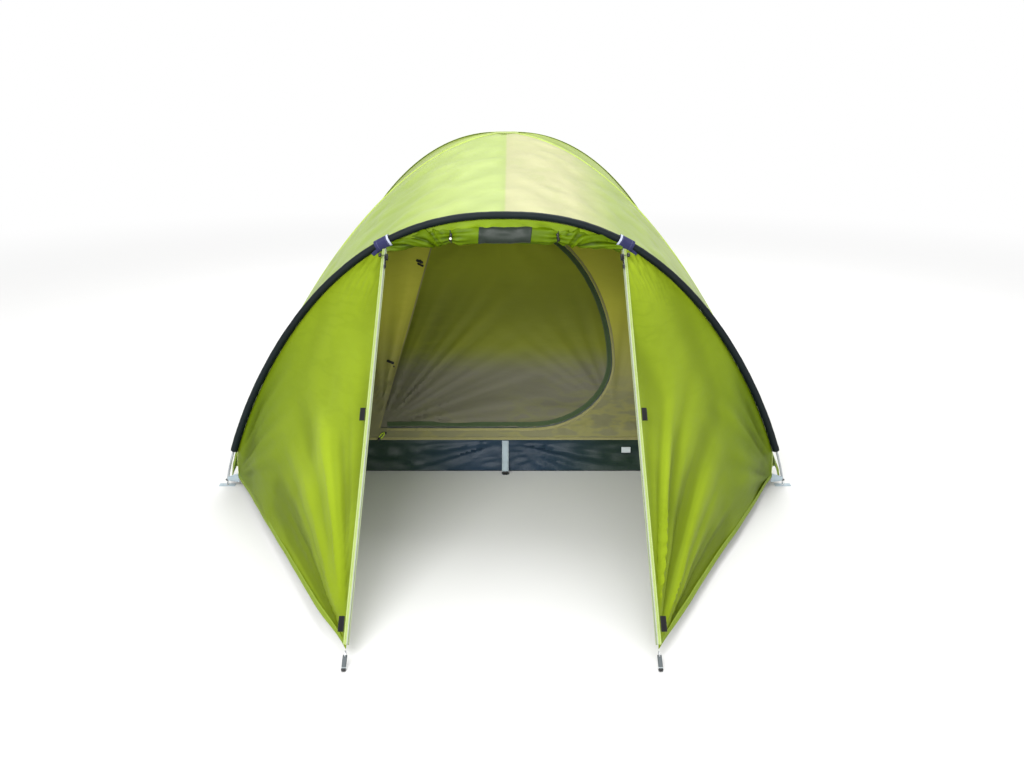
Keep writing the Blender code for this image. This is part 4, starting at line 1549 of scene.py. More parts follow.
        def relief(u: float, v: float, place: Vector) -> float:
            """A sewn-down border and a slightly puffed middle."""
            return 0.0011 * pinned(u, v, margin=0.1) + noise.noise(place * 40) * 0.0004

        sheet = Sheet("crown_patch_cloth", surface, 28, 28, Vector((0, lines.dome_y, 0)), relief)
        piece = sheet.build(FLY_BACK, Held.STRETCHED, ("fly_rear",))
        Fitting(Body.TENT, Slot.FLY, ("crown_patch",)).fit(piece)


# --- hoop sleeve and rolled door ---------------------------------------------------------------------------


@dataclass
class HoopSleeve:
    """The navy sleeve over the hoop pole, and the wraps at the doorway's top corners.

    Attributes:
        lines: The tent's lines.
        around: Faces round the sleeve.
        along: Faces along it.
        wrap_length: A wrap's length along the hoop.
        wrap_reach: How far round the sleeve a wrap goes, in degrees.
    """

    lines: TentLines
    around: int = 24
    along: int = 300
    wrap_length: float = 0.055
    wrap_reach: float = 282.0

    def build(self) -> None:
        """Builds the sleeve and both wraps."""
        self.sleeve()
        for name, side in SIDES.items():
            self.wrap(name, side)

    def sleeve(self) -> None:
        """The puckered cloth tube with its open ends."""
        lines = self.lines
        foot = lines.hoop_angle_at(None, lines.sleeve_end)

        def surface(u: float, v: float) -> Vector:
            """The sleeve's cloth: u runs round it, v from the left end to the right one."""
            angle = foot * (2 * v - 1)
            centre, _, inward, forward = lines.hoop_frame(angle)
            turn = math.tau * u
            drop = 1.0 + 0.2 * max(0.0, math.cos(turn)) ** 6
            return centre + lines.sleeve_radius * (inward * math.cos(turn) * drop + forward * math.sin(turn))

        def relief(u: float, v: float, place: Vector) -> float:
            """Puckers towards the seam, and slack between them."""
            near_seam = (0.5 + 0.5 * math.cos(math.tau * u)) ** 2
            along = v * foot * 2 * lines.hoop_height
            puckers = math.sin(along * math.tau / 0.03 + 3 * noise.noise(place * 9))
            slack = noise.noise(place * 22) * 0.0012 + noise.noise(place * 60) * 0.0004
            return puckers * 0.0003 * near_seam - abs(slack)

        rings = []
        for v in spaced(0.0, 1.0, self.along + 1):
            centre = lines.hoop_frame(foot * (2 * v - 1))[0]
            ring = []
            for step in range(self.around):
                u = step / self.around
                place = surface(u, v)
                ring.append(place + (place - centre).normalized() * relief(u, v, place))
            rings.append(ring)
        self._tube(rings)

    def _tube(self, rings: Sequence[Sequence[Vector]]) -> None:
        obj = loft("hoop_sleeve_cloth", rings, SLEEVE_CLOTH)
        bm = bmesh.new()
        bm.from_mesh(obj.data)
        caps = [face for face in bm.faces if len(face.verts) > 4]
        bmesh.ops.delete(bm, geom=caps, context="FACES_ONLY")
        bm.to_mesh(obj.data)
        bm.free()
        thickened(obj, 0.0009, -1.0)
        around = distances([*rings[0], rings[0][0]])[-1]
        length = distances([sum(ring, Vector()) / len(ring) for ring in rings])[-1]
        Fitting(Body.TENT, Slot.SLEEVE, ("hoop_sleeve",)).fit(obj)

    def wrap(self, name: str, side: int) -> None:
        """A reflective-edged wrap round the sleeve at the top of a zip, with its tail."""
        lines = self.lines
        angle = lines.hoop_angle_at(lines.door_half_width)
        half = self.wrap_length / 2 / lines.hoop_half_width
        radius = lines.sleeve_radius + 0.0036

        def surface(u: float, v: float) -> Vector:
            """The wrap's middle layer: u runs round the sleeve, v along the hoop."""
            place = side * (angle + half * (2 * v - 1))
            centre, _, inward, forward = lines.hoop_frame(place)
            turn = math.radians(self.wrap_reach) * (u - 0.5)
            sink = radius * (1.0 + 0.75 * (0.5 + 0.5 * math.cos(turn - math.pi)))
            crumple = 0.0012 * math.sin(5 * turn + 2)
            up = sink * math.cos(turn) + crumple
            return centre + forward * (radius + 0.003) * math.sin(turn) - inward * up

        path = [surface(u, 0.5) for u in spaced(0.0, 1.0, 40)]
        centre = lines.hoop(side * angle)
        outward = [(place - centre).normalized() for place in path]
        band = strap("band", path, outward, self.wrap_length, 0.0018, WRAP_WEBS[side])
        _, heading, inward, forward = lines.hoop_frame(side * angle)
        tail_start = surface(0.08, 0.5)
        tail = [
            tail_start + heading * (side * (0.02 + 0.03 * t)) + inward * (0.006 * t * t) + forward * 0.003
            for t in spaced(0.0, 1.0, 8)
        ]
        parts = [band, strap("tail", tail, forward, 0.014, 0.0014, WRAP_WEBS[side])]
        Fitting(Body.TENT, Slot.SLEEVE, (f"hoop_wrap_{name}",)).fit(joined(f"wrap_{name}", parts))


@dataclass
class RolledDoor:
    """The porch door, rolled up under the hoop and tied.

    Attributes:
        lines: The tent's lines.
        thick: The roll's radius in the middle.
        thin: Its radius at the ends.
        end_drop: From the sleeve's seam down to the roll's centre line at its ends.
        middle_drop: How much further down it is in the middle.
        wrap_half: Half a wrap's length, which the roll stops inside.
        tie_place: How far from the middle the ties sit, as a share of the roll.
    """

    lines: TentLines
    thick: float = 0.024
    thin: float = 0.011
    end_drop: float = 0.0122
    middle_drop: float = 0.041
    wrap_half: float = 0.0275
    tie_place: float = 0.22

    def build(self) -> None:
        """Builds the header, the roll, its patch and its ties."""
        self.header()
        self.roll()
        self.patch()
        for name, side in SIDES.items():
            self.tie(name, side)

    def centre(self, share: float) -> Vector:
        """The roll's centre line, from the left zip at 0 to the right one at 1."""
        lines = self.lines
        end = lines.hoop_angle_at(lines.door_half_width - self.wrap_half)
        drop = lines.sleeve_radius + lines.sleeve_seam + self.end_drop
        middle = math.sin(math.pi * share)
        return lines.hoop(end * (2 * share - 1), drop + self.middle_drop * middle, 0.003)

    def radius(self, share: float) -> float:
        """The roll's radius, pinched where it is tied."""
        swell = self.thin + (self.thick - self.thin) * min(1.0, 2 * max(0.0, math.sin(math.pi * share)))
        for side in SIDES.values():
            gap = share - (0.5 + side * self.tie_place)
            swell -= 0.0085 * math.exp(-((gap / 0.022) ** 2))
        return swell

    def header(self) -> None:
        """The strip of cloth from the sleeve down to the roll."""
        lines = self.lines
        end = lines.hoop_angle_at(lines.door_half_width - self.wrap_half)

        def surface(u: float, v: float) -> Vector:
            """The header's middle layer."""
            share = 0.02 + 0.96 * u
            above = lines.hoop(end * (2 * share - 1), lines.sleeve_radius + lines.sleeve_seam, 0.0018)
            below = self.centre(share) + Vector((0, -self.radius(share) * 0.55, self.radius(share) * 0.6))
            return above.lerp(below, v)

        def relief(u: float, v: float, place: Vector) -> float:
            """Small upright gathers where the cloth turns into the roll."""
            slant = Vector((0.8 if place.x < 0 else -0.8, 0.0, 0.6))
            return ripple(place, slant, 0.02, 6.0, 4.0) * 0.006 * soft_step(v, 0.0, 0.5)

        sheet = Sheet("door_header_cloth", surface, 150, 10, Vector((0, 1.0, 0.5)), relief)
        # The header wears the darker flysheet copy: painted shade under the sleeve.
        piece = sheet.build(FLY_SHADED, Held.HUNG, ("hoop_sleeve_cloth",))
        Fitting(Body.TENT, Slot.FLY, ("door_header",)).fit(piece)

    def _frame(self, share: float) -> tuple[Vector, Vector, Vector]:
        """The roll's centre, and its forward and upright directions."""
        place = self.centre(share)
        heading = (self.centre(share + 0.01) - self.centre(share - 0.01)).normalized()
        forward = heading.cross(UP).normalized()
        return place, forward, forward.cross(heading) * -1

    def _fold(self, share: float, turn: float) -> float:
        """How far the cloth stands out from the roll's plain radius."""
        twist = 0.0
        slack = 0.0
        for side in SIDES.values():
            tie = 0.5 + side * self.tie_place
            outer = soft_step(side * (share - tie), 0.0, 0.12)
            twist += outer * (1.0 if side < 0 else -0.8)
            slack += outer
        spiral = ((turn / math.tau + 0.62) % 1.0) * 0.0024
        lay = turn + twist * 2.2 * (share - 0.5) * math.tau
        folds = 0.0058 * slack * math.sin(3 * lay) + 0.0026 * slack * math.sin(7 * lay + 1.0)
        dents = noise.noise(Vector((share * 22, math.cos(turn) * 1.3, math.sin(turn) * 1.3))) * 0.0038
        gather = 0.0
        for side in SIDES.values():
            gap = abs(share - (0.5 + side * self.tie_place))
            gather += math.exp(-((gap / 0.07) ** 2)) * 0.0034 * math.sin(9 * turn + side)
        return spiral + folds + dents + gather

    def skin(self, share: float, turn: float, proud: float = 0.0) -> Vector:
        """A point on the roll's cloth, at a turn from its front upwards."""
        place, forward, upright = self._frame(share)
        if upright.z < 0:
            upright = -upright
        size = self.radius(share) + self._fold(share, turn) + proud
        tall = 1.12 - 0.08 * math.cos(math.tau * share)
        return place + forward * (math.cos(turn) * size) + upright * (math.sin(turn) * size * tall)

    def roll(self) -> None:
        """The rolled cloth, a soft bundle with its last turn showing."""
        shares = spaced(-0.04, 1.04, 200)
        turns = full_turn(48)
        rings = [[self.skin(share, turn) for turn in turns] for share in shares]
        # The fold heights go onto the mesh; the roll's finish paints shade in the hollows and highlight on
        # the tops from them.
        lifts = [[self._fold(share, turn) for turn in turns] for share in shares]
        obj = loft("rolled_door", rings, ROLL_CLOTH, lifts=lifts)
        Fitting(Body.TENT, Slot.FLY, ("door_roll",)).fit(obj)

    def patch(self) -> None:
        """The slate patch of cloth that shows on the front of the roll."""

        def surface(u: float, v: float) -> Vector:
            """The patch's middle layer, wrapped round the roll's front."""
            share = 0.411 + 0.19 * u - 0.006 * v
            return self.skin(share, math.radians(62 - 118 * v), 0.0012)

        sheet = Sheet("roll_patch", surface, 48, 16, self.centre(0.5), None, 0.0008)
        piece = sheet.build(PATCH_CLOTH, Held.LAID, ("rolled_door",))
        Fitting(Body.TENT, Slot.FLY).fit(piece)

    def tie(self, name: str, side: int) -> None:
        """An elastic loop round the roll, with its toggle in front."""
        share = 0.5 + side * self.tie_place
        loop = [self.skin(share, turn, 0.0014) for turn in full_turn(28)]
        ring = bar("loop", loop, 0.0016, BLACK_CORD, closed=True, sides=8)
        place, forward, upright = self._frame(share)
        heading = forward.cross(upright)
        front = place + forward * (self.radius(share) + 0.006)
        toggle_way = (upright + heading * 0.25 * side).normalized()
        pill = [front + toggle_way * t for t in (-0.014, -0.0125, -0.008, 0.0, 0.008, 0.0125, 0.014)]
        toggle = bar("toggle", pill, (0.002, 0.004, 0.005, 0.0042, 0.005, 0.004, 0.002), BLACK, sides=14)
        parts = [ring, toggle]
        if side < 0:
            end = front + forward * 0.004 + upright * 0.004
            button = [end, end + forward * 0.0012, end + forward * 0.002]
            parts.append(bar("stop", button, (0.0042, 0.004, 0.002), WHITE))
        Fitting(Body.TENT, Slot.PLASTIC, (f"roll_tie_{name}",)).fit(joined(f"roll_tie_cord_{name}", parts))


# --- porch zips and front pegs -----------------------------------------------------------------------------


@dataclass
class PorchZip:
    """One side's doorway zip: its tape, teeth, slider, pull and tabs, down to the peg ring and loop.

    Attributes:
        lines: The tent's lines.
        name: left or right.
        side: -1 or 1.
        tape_width: The zip tape's width.
        teeth_radius: The teeth's radius.
    """

    lines: TentLines
    name: str
    side: int
    tape_width: float = 0.010
    teeth_radius: float = 0.0018

    def __post_init__(self) -> None:
        """Works out the zip's line and directions."""
        self.top, self.bottom = self.lines.zip_line(self.side)
        self.down = (self.bottom - self.top).normalized()
        self.length = (self.bottom - self.top).length
        self.front = self.down.cross(RIGHT).normalized()
        if self.front.y > 0:
            self.front = -self.front
        self.inward = self.front.cross(self.down).normalized()
        if self.inward.x * self.side > 0:
            self.inward = -self.inward

    def at(self, distance: float, inward: float = 0.0, proud: float = 0.0) -> Vector:
        """A point beside the zip, a distance below its top."""
        return self.top + self.down * distance + self.inward * inward + self.front * proud

    def build(self) -> None:
        """Builds the zip and the fittings along it."""
        self.tape()
        self.slider()
        self.tabs()
        self.peg_loop()

    def tape(self) -> None:
        """The pale tape on the wing's edge, with the teeth along it and a grey strip of painted shadow behind
        it.
        """
        stations = spaced(0.0, self.length - 0.012, 120)
        wave = [0.0006 * math.sin(d * math.tau / 0.034) for d in stations]
        middle = [self.at(d, -self.tape_width / 2 + 0.001, 0.0016 + w) for d, w in zip(stations, wave)]
        band = strap("tape", middle, self.front, self.tape_width, 0.0012, ZIP_TAPE)
        edge = [self.at(d, 0.0012, 0.001 + w) for d, w in zip(stations, wave)]
        teeth = bar("teeth", edge, self.teeth_radius, WHITE_TEETH)
        Fitting(Body.TENT, Slot.WEBBING).fit(joined(f"porch_zip_{self.name}", [band, teeth]))
        # A grey strip just behind the zip's inner edge: painted shadow of the zip.
        shadow = [self.at(d, 0.0045, -0.0012 + w) for d, w in zip(stations, wave)]
        flap = strap(f"painted_zip_shadow_{self.name}", shadow, self.front, 0.005, 0.001, ZIP_SHADOW_TAPE)
        Fitting(Body.TENT, Slot.WEBBING).fit(flap)

    def slider(self) -> None:
        """The slider at the top of the zip, with its bridge, pull and cord."""
        place = middle_of(f"zip_slider_{self.name}")
        turn = matrix_of(self.inward, self.front, self.down, place)
        parts = []
        for depth in (-0.0031, 0.0051):
            spot = turn @ Matrix.Translation((0.001, depth, 0))
            parts.append(block("plate", Vector((0.0115, 0.0016, 0.0205)), spot, BLACK, 0.0007))
        spot = turn @ Matrix.Translation((0.0053, 0.001, -0.0065))
        parts.append(block("core", Vector((0.0028, 0.0074, 0.006)), spot, BLACK, 0.0006))
        arch = [
            place + self.front * (0.0058 + 0.0032 * math.sin(a)) + self.down * (0.0068 * math.cos(a))
            for a in spaced(0.0, math.pi, 12)
        ]
        parts.append(bar("bridge", arch, 0.0009, BLACK, sides=8))
        hang = place + self.front * 0.0092
        sway = self.front * 0.0008
        pull = [hang + self.down * t + sway * math.sin(t * 200) for t in spaced(0.0, 0.038, 14)]
        parts.append(strap("pull", pull, self.front, 0.0052, 0.0016, BLACK_WEB))
        end = [hang + self.down * t for t in (0.036, 0.038, 0.044, 0.052, 0.054)]
        parts.append(bar("grip", end, (0.002, 0.0036, 0.0042, 0.0034, 0.0018), BLACK, sides=12))
        beside = place - self.inward * 0.019 + self.front * 0.0128
        knob = [beside + self.down * t for t in (-0.008, -0.006, 0.0, 0.006, 0.008)]
        parts.append(bar("knob", knob, (0.002, 0.0048, 0.0056, 0.0048, 0.002), BLACK, sides=14))
        link = [place + self.front * 0.0095, place - self.inward * 0.01 + self.front * 0.0118, knob[2]]
        parts.append(bar("link", link, 0.0012, BLACK, sides=8))
        body = Body.LEFT_SLIDER if self.side < 0 else Body.RIGHT_SLIDER
        piece = joined(f"porch_slider_{self.name}", parts)
        Fitting(body, Slot.PLASTIC, (f"zip_slider_{self.name}",)).fit(piece)

    def tabs(self) -> None:
        """The two folded black tabs sewn beside the zip."""
        for label, share in (("upper", 0.46), ("lower", 0.935)):
            start = self.length * share
            steps = spaced(0.0, 0.044, 10)
            path = [self.at(start + t, -0.019, 0.0042 + 0.0008 * math.sin(t * 90)) for t in steps]
            tab = strap(f"zip_tab_{label}_{self.name}", path, self.front, 0.016, 0.0028, BLACK_WEB)
            Fitting(Body.TENT, Slot.WEBBING).fit(tab)

    def peg_loop(self) -> None:
        """The doubled webbing from the wing's corner ring to the ground."""
        start = middle_of(f"peg_ring_{self.name}") - Vector((0, 0.004, 0.001))
        end = Vector((start.x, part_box(f"peg_loop_{self.name}")[0].y + 0.004, 0.0022))
        way = (end - start).normalized()
        face = way.cross(RIGHT).normalized()
        face = face if face.z > 0 else -face
        bows = [(t, math.sin(math.pi * t)) for t in spaced(0.0, 0.97, 16)]
        bend = [start.lerp(end, t) + face * (0.0024 + 0.0035 * bow) for t, bow in bows]
        under = [start.lerp(end, t) - face * (0.0008 - 0.001 * bow) for t, bow in reversed(bows)]
        path = bend + [end + way * 0.0005] + under
        normals = [face] * len(bend) + [way] + [-face] * len(under)
        web = strap("web", path, normals, 0.0115, 0.0013, DARK_WEB, closed=True)
        band_path = [start.lerp(end, t) + face * 0.0046 for t in spaced(0.78, 0.84, 4)]
        band = strap("band", band_path, face, 0.0125, 0.0006, LABEL_CLOTH)
        tip_path = [start.lerp(end, t) + face * 0.0018 for t in spaced(0.88, 1.03, 6)]
        tip = strap("tip", tip_path, face, (0.012, 0.0135, 0.0135, 0.0125, 0.0105, 0.006), 0.0046, BLACK)
        piece = joined(f"peg_webbing_{self.name}", [web, band, tip])
        Fitting(Body.TENT, Slot.WEBBING, (f"peg_loop_{self.name}",)).fit(piece)


# --- inner tent --------------------------------------------------------------------------------------------


@dataclass(frozen=True)
class DoorShape:
    """The D-shaped door's outline on the flat front.

    Attributes:
        foot: The height of its straight lower edge.
        hinge_foot: Where the sewn edge starts at the bottom.
        hinge_top: Where the sewn edge ends.
        crown: Its highest point.
        right: Its widest point.
        corner: Where its lower edge begins to turn up.
    """

    foot: float = 0.165
    hinge_foot: float = -0.491
    hinge_top: tuple[float, float] = (-0.287, 0.86)
    crown: tuple[float, float] = (-0.05, 0.92)
    right: tuple[float, float] = (0.424, 0.40)
    corner: float = 0.10

    def outline(self, trim: float, arc_points: int = 16) -> list[tuple[float, float]]:
        """The outline, from the lower right corner round over the top to the lower left one.

        Args:
            trim: How far inside the opening it lies.
            arc_points: Points in each of its three curves.

        Returns:
            Points across and up.
        """
        lower = (self.right[0] - self.corner - trim, self.right[1] - self.foot - trim)
        upper = (self.right[0] - self.crown[0] - trim, self.crown[1] - self.right[1] - trim)
        left = (self.crown[0] - self.hinge_top[0] - trim, self.crown[1] - self.hinge_top[1] - trim)
        points = self._quarter((self.corner, self.right[1]), lower, -math.pi / 2, arc_points)
        points += self._quarter((self.crown[0], self.right[1]), upper, 0.0, arc_points)[1:]
        points += self._quarter((self.crown[0], self.hinge_top[1]), left, math.pi / 2, arc_points)[1:]
        points.append((self.hinge_foot + trim * 1.3, self.foot + trim))
        return points

    @staticmethod
    def _quarter(
        centre: tuple[float, float], radii: tuple[float, float], start: float, count: int
    ) -> list[tuple[float, float]]:
        """A quarter of an ellipse, anticlockwise."""
        angles = spaced(start, start + math.pi / 2, count)
        return [(centre[0] + radii[0] * math.cos(a), centre[1] + radii[1] * math.sin(a)) for a in angles]

    def zip_path(self, trim: float) -> list[tuple[float, float]]:
        """The zipped edge: along the bottom from the lower left corner, up the right and over the top."""
        closed = self.outline(trim)
        bottom = [(x, closed[0][1]) for x in spaced(self.hinge_foot + 0.03, self.corner, 24)[:-1]]
        return bottom + closed[:-1]


@dataclass
class InnerTent:
    """The hung inner tent: four walls, corner seams, the door with its zip, toggles and slider.

    Attributes:
        lines: The tent's lines.
        door: The door's outline.
        seam_gap: From a corner seam's centre line to a wall's sewn edge.
        toggle_lean: The way the toggles lie, across and up.
    """

    lines: TentLines
    door: DoorShape
    seam_gap: float = 0.0018
    toggle_lean: tuple[float, float] = (0.88, -0.47)

    def build(self) -> None:
        """Builds the walls, the door and all that is sewn to them."""
        lengthways, across = Vector((0, self.seam_gap, 0)), Vector((self.seam_gap, 0, 0))
        self._wall("inner_left", (-1, -1), (-1, 1), lengthways, 2.0)
        self._wall("inner_right", (1, -1), (1, 1), lengthways, 5.0)
        self._wall("inner_rear", (-1, 1), (1, 1), across, 8.0)
        self.front(across)
        self.corner_seams()
        self.zip_flap()
        self.toggles()
        self.slider()

    def _surface(self, first: tuple[int, int], second: tuple[int, int], shift: Vector, sag: float) -> Surface:
        """The cloth between two corner seams."""
        lines = self.lines

        def surface(u: float, v: float) -> Vector:
            """The wall's middle layer."""
            start, end = lines.inner_ridge(*first, v) + shift, lines.inner_ridge(*second, v) - shift
            return lines.ruled(start, end, u, sag)

        return surface

    def _wall(
        self, name: str, first: tuple[int, int], second: tuple[int, int], shift: Vector, seed: float
    ) -> None:
        """A side or rear wall."""
        surface = self._surface(first, second, shift, self.lines.sag)

        def relief(u: float, v: float, place: Vector) -> float:
            """Loose folds between the clips and the tub."""
            loose = noise.noise(place * 3 + Vector((seed, 0, 0))) * 0.009
            return (loose + ripple(place, UP, 0.1, seed) * 0.005 * soft_step(v, 0.4, 0.9)) * pinned(u, v)

        sheet = Sheet(name, surface, 48, 64, self.lines.inside, relief)
        piece = sheet.build(INNER_WALL, Held.HUNG, ("crown_hook",))
        Fitting(Body.TENT, Slot.INNER, (name,)).fit(piece)

    def front_relief(self, u: float, v: float, place: Vector) -> float:
        """Creases that run down to the door's lower corners, and a wrinkled band above the tub."""
        low_left = self.lines.front_face(self.door.hinge_foot, self.door.foot)
        low_right = self.lines.front_face(self.door.right[0], self.door.foot + 0.06)
        crown = self.lines.front_face(self.door.crown[0], self.door.crown[1])
        pulls = fan(place, low_left, 13.0, 0.16, 0.95, 1.5) * 0.016
        pulls += fan(place, low_right, 8.0, 0.2, 0.7, 6.5) * 0.009
        pulls += fan(place, crown, 5.0, 0.2, 0.6, 3.5) * 0.004
        band = soft_step(0.19 - place.z, 0.0, 0.03)
        slant = Vector((0.55 if place.x < 0 else -0.55, -0.2, 0.8)).normalized()
        herringbone = ripple(place, slant, 0.014, 2.2, 4.0) * 0.0052 * band
        broad = noise.noise(place * 3.3) * 0.006 * (1 - band)
        sewn = pinned(u, margin=0.04) * soft_step(1 - v, 0.0, 0.03)
        return (pulls * (1 - band) + herringbone + broad) * sewn

    def front(self, shift: Vector) -> None:
        """The front wall with its doorway cut out, and the door that fills it."""
        surface = self._surface((-1, -1), (1, -1), shift, 0.0)
        for name, finish, slot, body, trim, operation in (
            ("inner_front", INNER_WALL, Slot.INNER, Body.TENT, 0.0, "DIFFERENCE"),
            ("inner_door", DOOR_CLOTH, Slot.DOOR, Body.DOOR, 0.002, "INTERSECT"),
        ):
            sheet = Sheet(f"{name}_cloth", surface, 180, 150, self.lines.inside, self.front_relief)
            piece = sheet.build(finish, None)
            self._cut(piece, self.door.outline(trim), operation)
            self._declare_front(piece, name)
            Fitting(body, slot, (name,)).fit(piece)

    def _declare_front(self, piece: bpy.types.Object, name: str) -> None:
        area = sum(polygon.area for polygon in piece.data.polygons) / 2
        low = Vector([min(v.co[axis] for v in piece.data.vertices) for axis in range(3)])
        high = Vector([max(v.co[axis] for v in piece.data.vertices) for axis in range(3)])
        width, length = high.x - low.x, math.hypot(high.y - low.y, high.z - low.z)
        clips = ("inner_clip_front_left", "inner_clip_front_right")
        on = clips if name == "inner_front" else ("inner_front_cloth",)
        declare(piece, width, length, area * 0.985, Held.HUNG)

    def _cut(self, piece: bpy.types.Object, outline: Sequence[tuple[float, float]], operation: str) -> None:
        """Cuts a piece of cloth with an upright prism over the door's outline."""
        bm = bmesh.new()
        depths = (self.lines.dome_y - self.lines.half_length - 0.4, self.lines.dome_y)
        ends = [[bm.verts.new((x, y, z)) for x, z in outline] for y in depths]
        count = len(outline)
        bm.faces.new(ends[0])
        bm.faces.new(list(reversed(ends[1])))
        for index in range(count):
            following = (index + 1) % count
            bm.faces.new((ends[0][following], ends[0][index], ends[1][index], ends[1][following]))
        bmesh.ops.recalc_face_normals(bm, faces=bm.faces)
        prism = in_scene("door_prism", mesh_from("door_prism", bm))
        cut = piece.modifiers.new("Doorway", "BOOLEAN")
        cut.operation = operation
        cut.object = prism
        baked(piece)
        bpy.data.objects.remove(prism)

    def corner_seams(self) -> None:
        """The taped corner seams of the walls."""
        for end_name, end in ENDS.items():
            for side_name, side in SIDES.items():
                path = [self.lines.inner_ridge(side, end, share) for share in spaced(0.01, 1.0, 70)]
                out = Vector((side, end, 0.25)).normalized()
                seam = strap(f"inner_seam_{end_name}_{side_name}", path, out, 0.012, 0.0018, INNER_TAPE)
                Fitting(Body.TENT, Slot.INNER).fit(seam)

    def _on_front(self, path: Sequence[tuple[float, float]], proud: float) -> list[Vector]:
        """Points on the front cloth, folds included, a little proud of it."""
        lines = self.lines
        low, high = lines.inner_ridge(1, -1, 1.0), lines.inner_ridge(1, -1, lines.clip_share)
        found = []
        for x, z in path:
            place = lines.front_face(x, z)
            rise = (z - low.z) / (high.z - low.z)
            u = (x / low.lerp(high, rise).x + 1) / 2
            lift = self.front_relief(u, min(1 - (1 - lines.clip_share) * rise, 1.0), place)
            found.append(place + lines.front_normal() * (lift + proud))
        return found

    def zip_flap(self) -> None:
        """The dark flap over the door's zip, the teeth under its edge and the tape on the wall."""
        normal = self.lines.front_normal()
        flap_path = self._on_front(self.door.zip_path(0.0125), 0.0032)
        flap = strap("door_zip_flap", flap_path, normal, 0.019, 0.0014, FLAP_TAPE)
        Fitting(Body.DOOR, Slot.DOOR).fit(flap)
        teeth_path = self._on_front(self.door.zip_path(0.0022), 0.0016)
        teeth = bar("door_zip_teeth", teeth_path, 0.0015, DARK_TEETH, sides=8)
        Fitting(Body.DOOR, Slot.DOOR).fit(teeth)
        tape_path = self._on_front(self.door.zip_path(-0.006), 0.0014)
        tape = strap("doorway_tape", tape_path, normal, 0.009, 0.001, INNER_TAPE)
        Fitting(Body.TENT, Slot.INNER).fit(tape)
        foot, top = Vector((self.door.hinge_foot, self.door.foot)), Vector(self.door.hinge_top)
        hinge = [tuple(foot.lerp(top, t)) for t in spaced(0.0, 1.0, 40)]
        seam = strap("door_hinge_seam", self._on_front(hinge, 0.0011), normal, 0.006, 0.001, INNER_TAPE)
        Fitting(Body.TENT, Slot.INNER).fit(seam)

    def toggles(self) -> None:
        """The two toggles on elastic loops that hold the door back."""
        normal = self.lines.front_normal()
        lean = Vector((self.toggle_lean[0], 0, self.toggle_lean[1]))
        way = (lean - normal * lean.dot(normal)).normalized()
        for name in ("lower", "upper"):
            node = f"door_toggle_{name}"
            low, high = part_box(node)
            place = (low + high) / 2
            half = (high.x - low.x) / 2
            spots = (-1.0, -0.9, -0.55, 0.0, 0.55, 0.9, 1.0)
            pill = [place + way * (half * spot) for spot in spots]
            radii = (0.0022, 0.0048, 0.006, 0.005, 0.006, 0.0048, 0.0022)
            keeper = [point + Vector((0.003, 0, -0.0145)) - normal * 0.0005 for point in pill[1:-1]]
            toggle = bar("pill", pill, radii, BLACK, sides=16)
            stop = bar("keeper", keeper, [0.8 * size for size in radii[1:-1]], BLACK, sides=14)
            side = way.cross(normal)
            hang = place - normal * 0.0055
            loop = [hang + way * (0.006 * math.sin(a)) + side * (0.009 * math.cos(a)) for a in full_turn(24)]
            cord = bar("cord", loop, 0.0016, BLACK_CORD, closed=True, sides=8)
            Fitting(Body.TENT, Slot.PLASTIC, (node,)).fit(joined(f"toggle_{name}", [toggle, stop, cord]))

    def slider(self) -> None:
        """The door zip's slider, with its lime pull cord."""
        normal = self.lines.front_normal()
        place = middle_of("door_slider")
        up = RIGHT.cross(normal).normalized()
        if up.z < 0:
            up = -up
        turn = matrix_of(RIGHT, up, normal, place)
        body = block("body", Vector((0.019, 0.0095, 0.0052)), turn, BLACK, 0.0014)
        arch = [
            place + normal * (0.002 + 0.003 * math.sin(a)) + RIGHT * (0.006 * math.cos(a))
            for a in spaced(0.0, math.pi, 10)
        ]
        bridge = bar("bridge", arch, 0.0008, BLACK, sides=8)
        start = place + normal * 0.005
        way = (RIGHT * -0.55 - up * 0.75).normalized()
        across = way.cross(normal)
        turns = full_turn(26)
        loop = [start + way * (0.015 - 0.015 * math.cos(a)) + across * (0.005 * math.sin(a)) for a in turns]
        cord = bar("cord", loop, 0.0022, LIME_CORD, closed=True, sides=10)
        end = [start + way * t for t in (0.024, 0.0255, 0.031, 0.038, 0.0405)]
        grip = bar("grip", end, (0.0025, 0.0048, 0.0052, 0.0046, 0.0022), BLACK, sides=12)
        piece = joined("door_slider_pull", [body, bridge, cord, grip])
        Fitting(Body.DOOR_SLIDER, Slot.PLASTIC, ("door_slider",)).fit(piece)


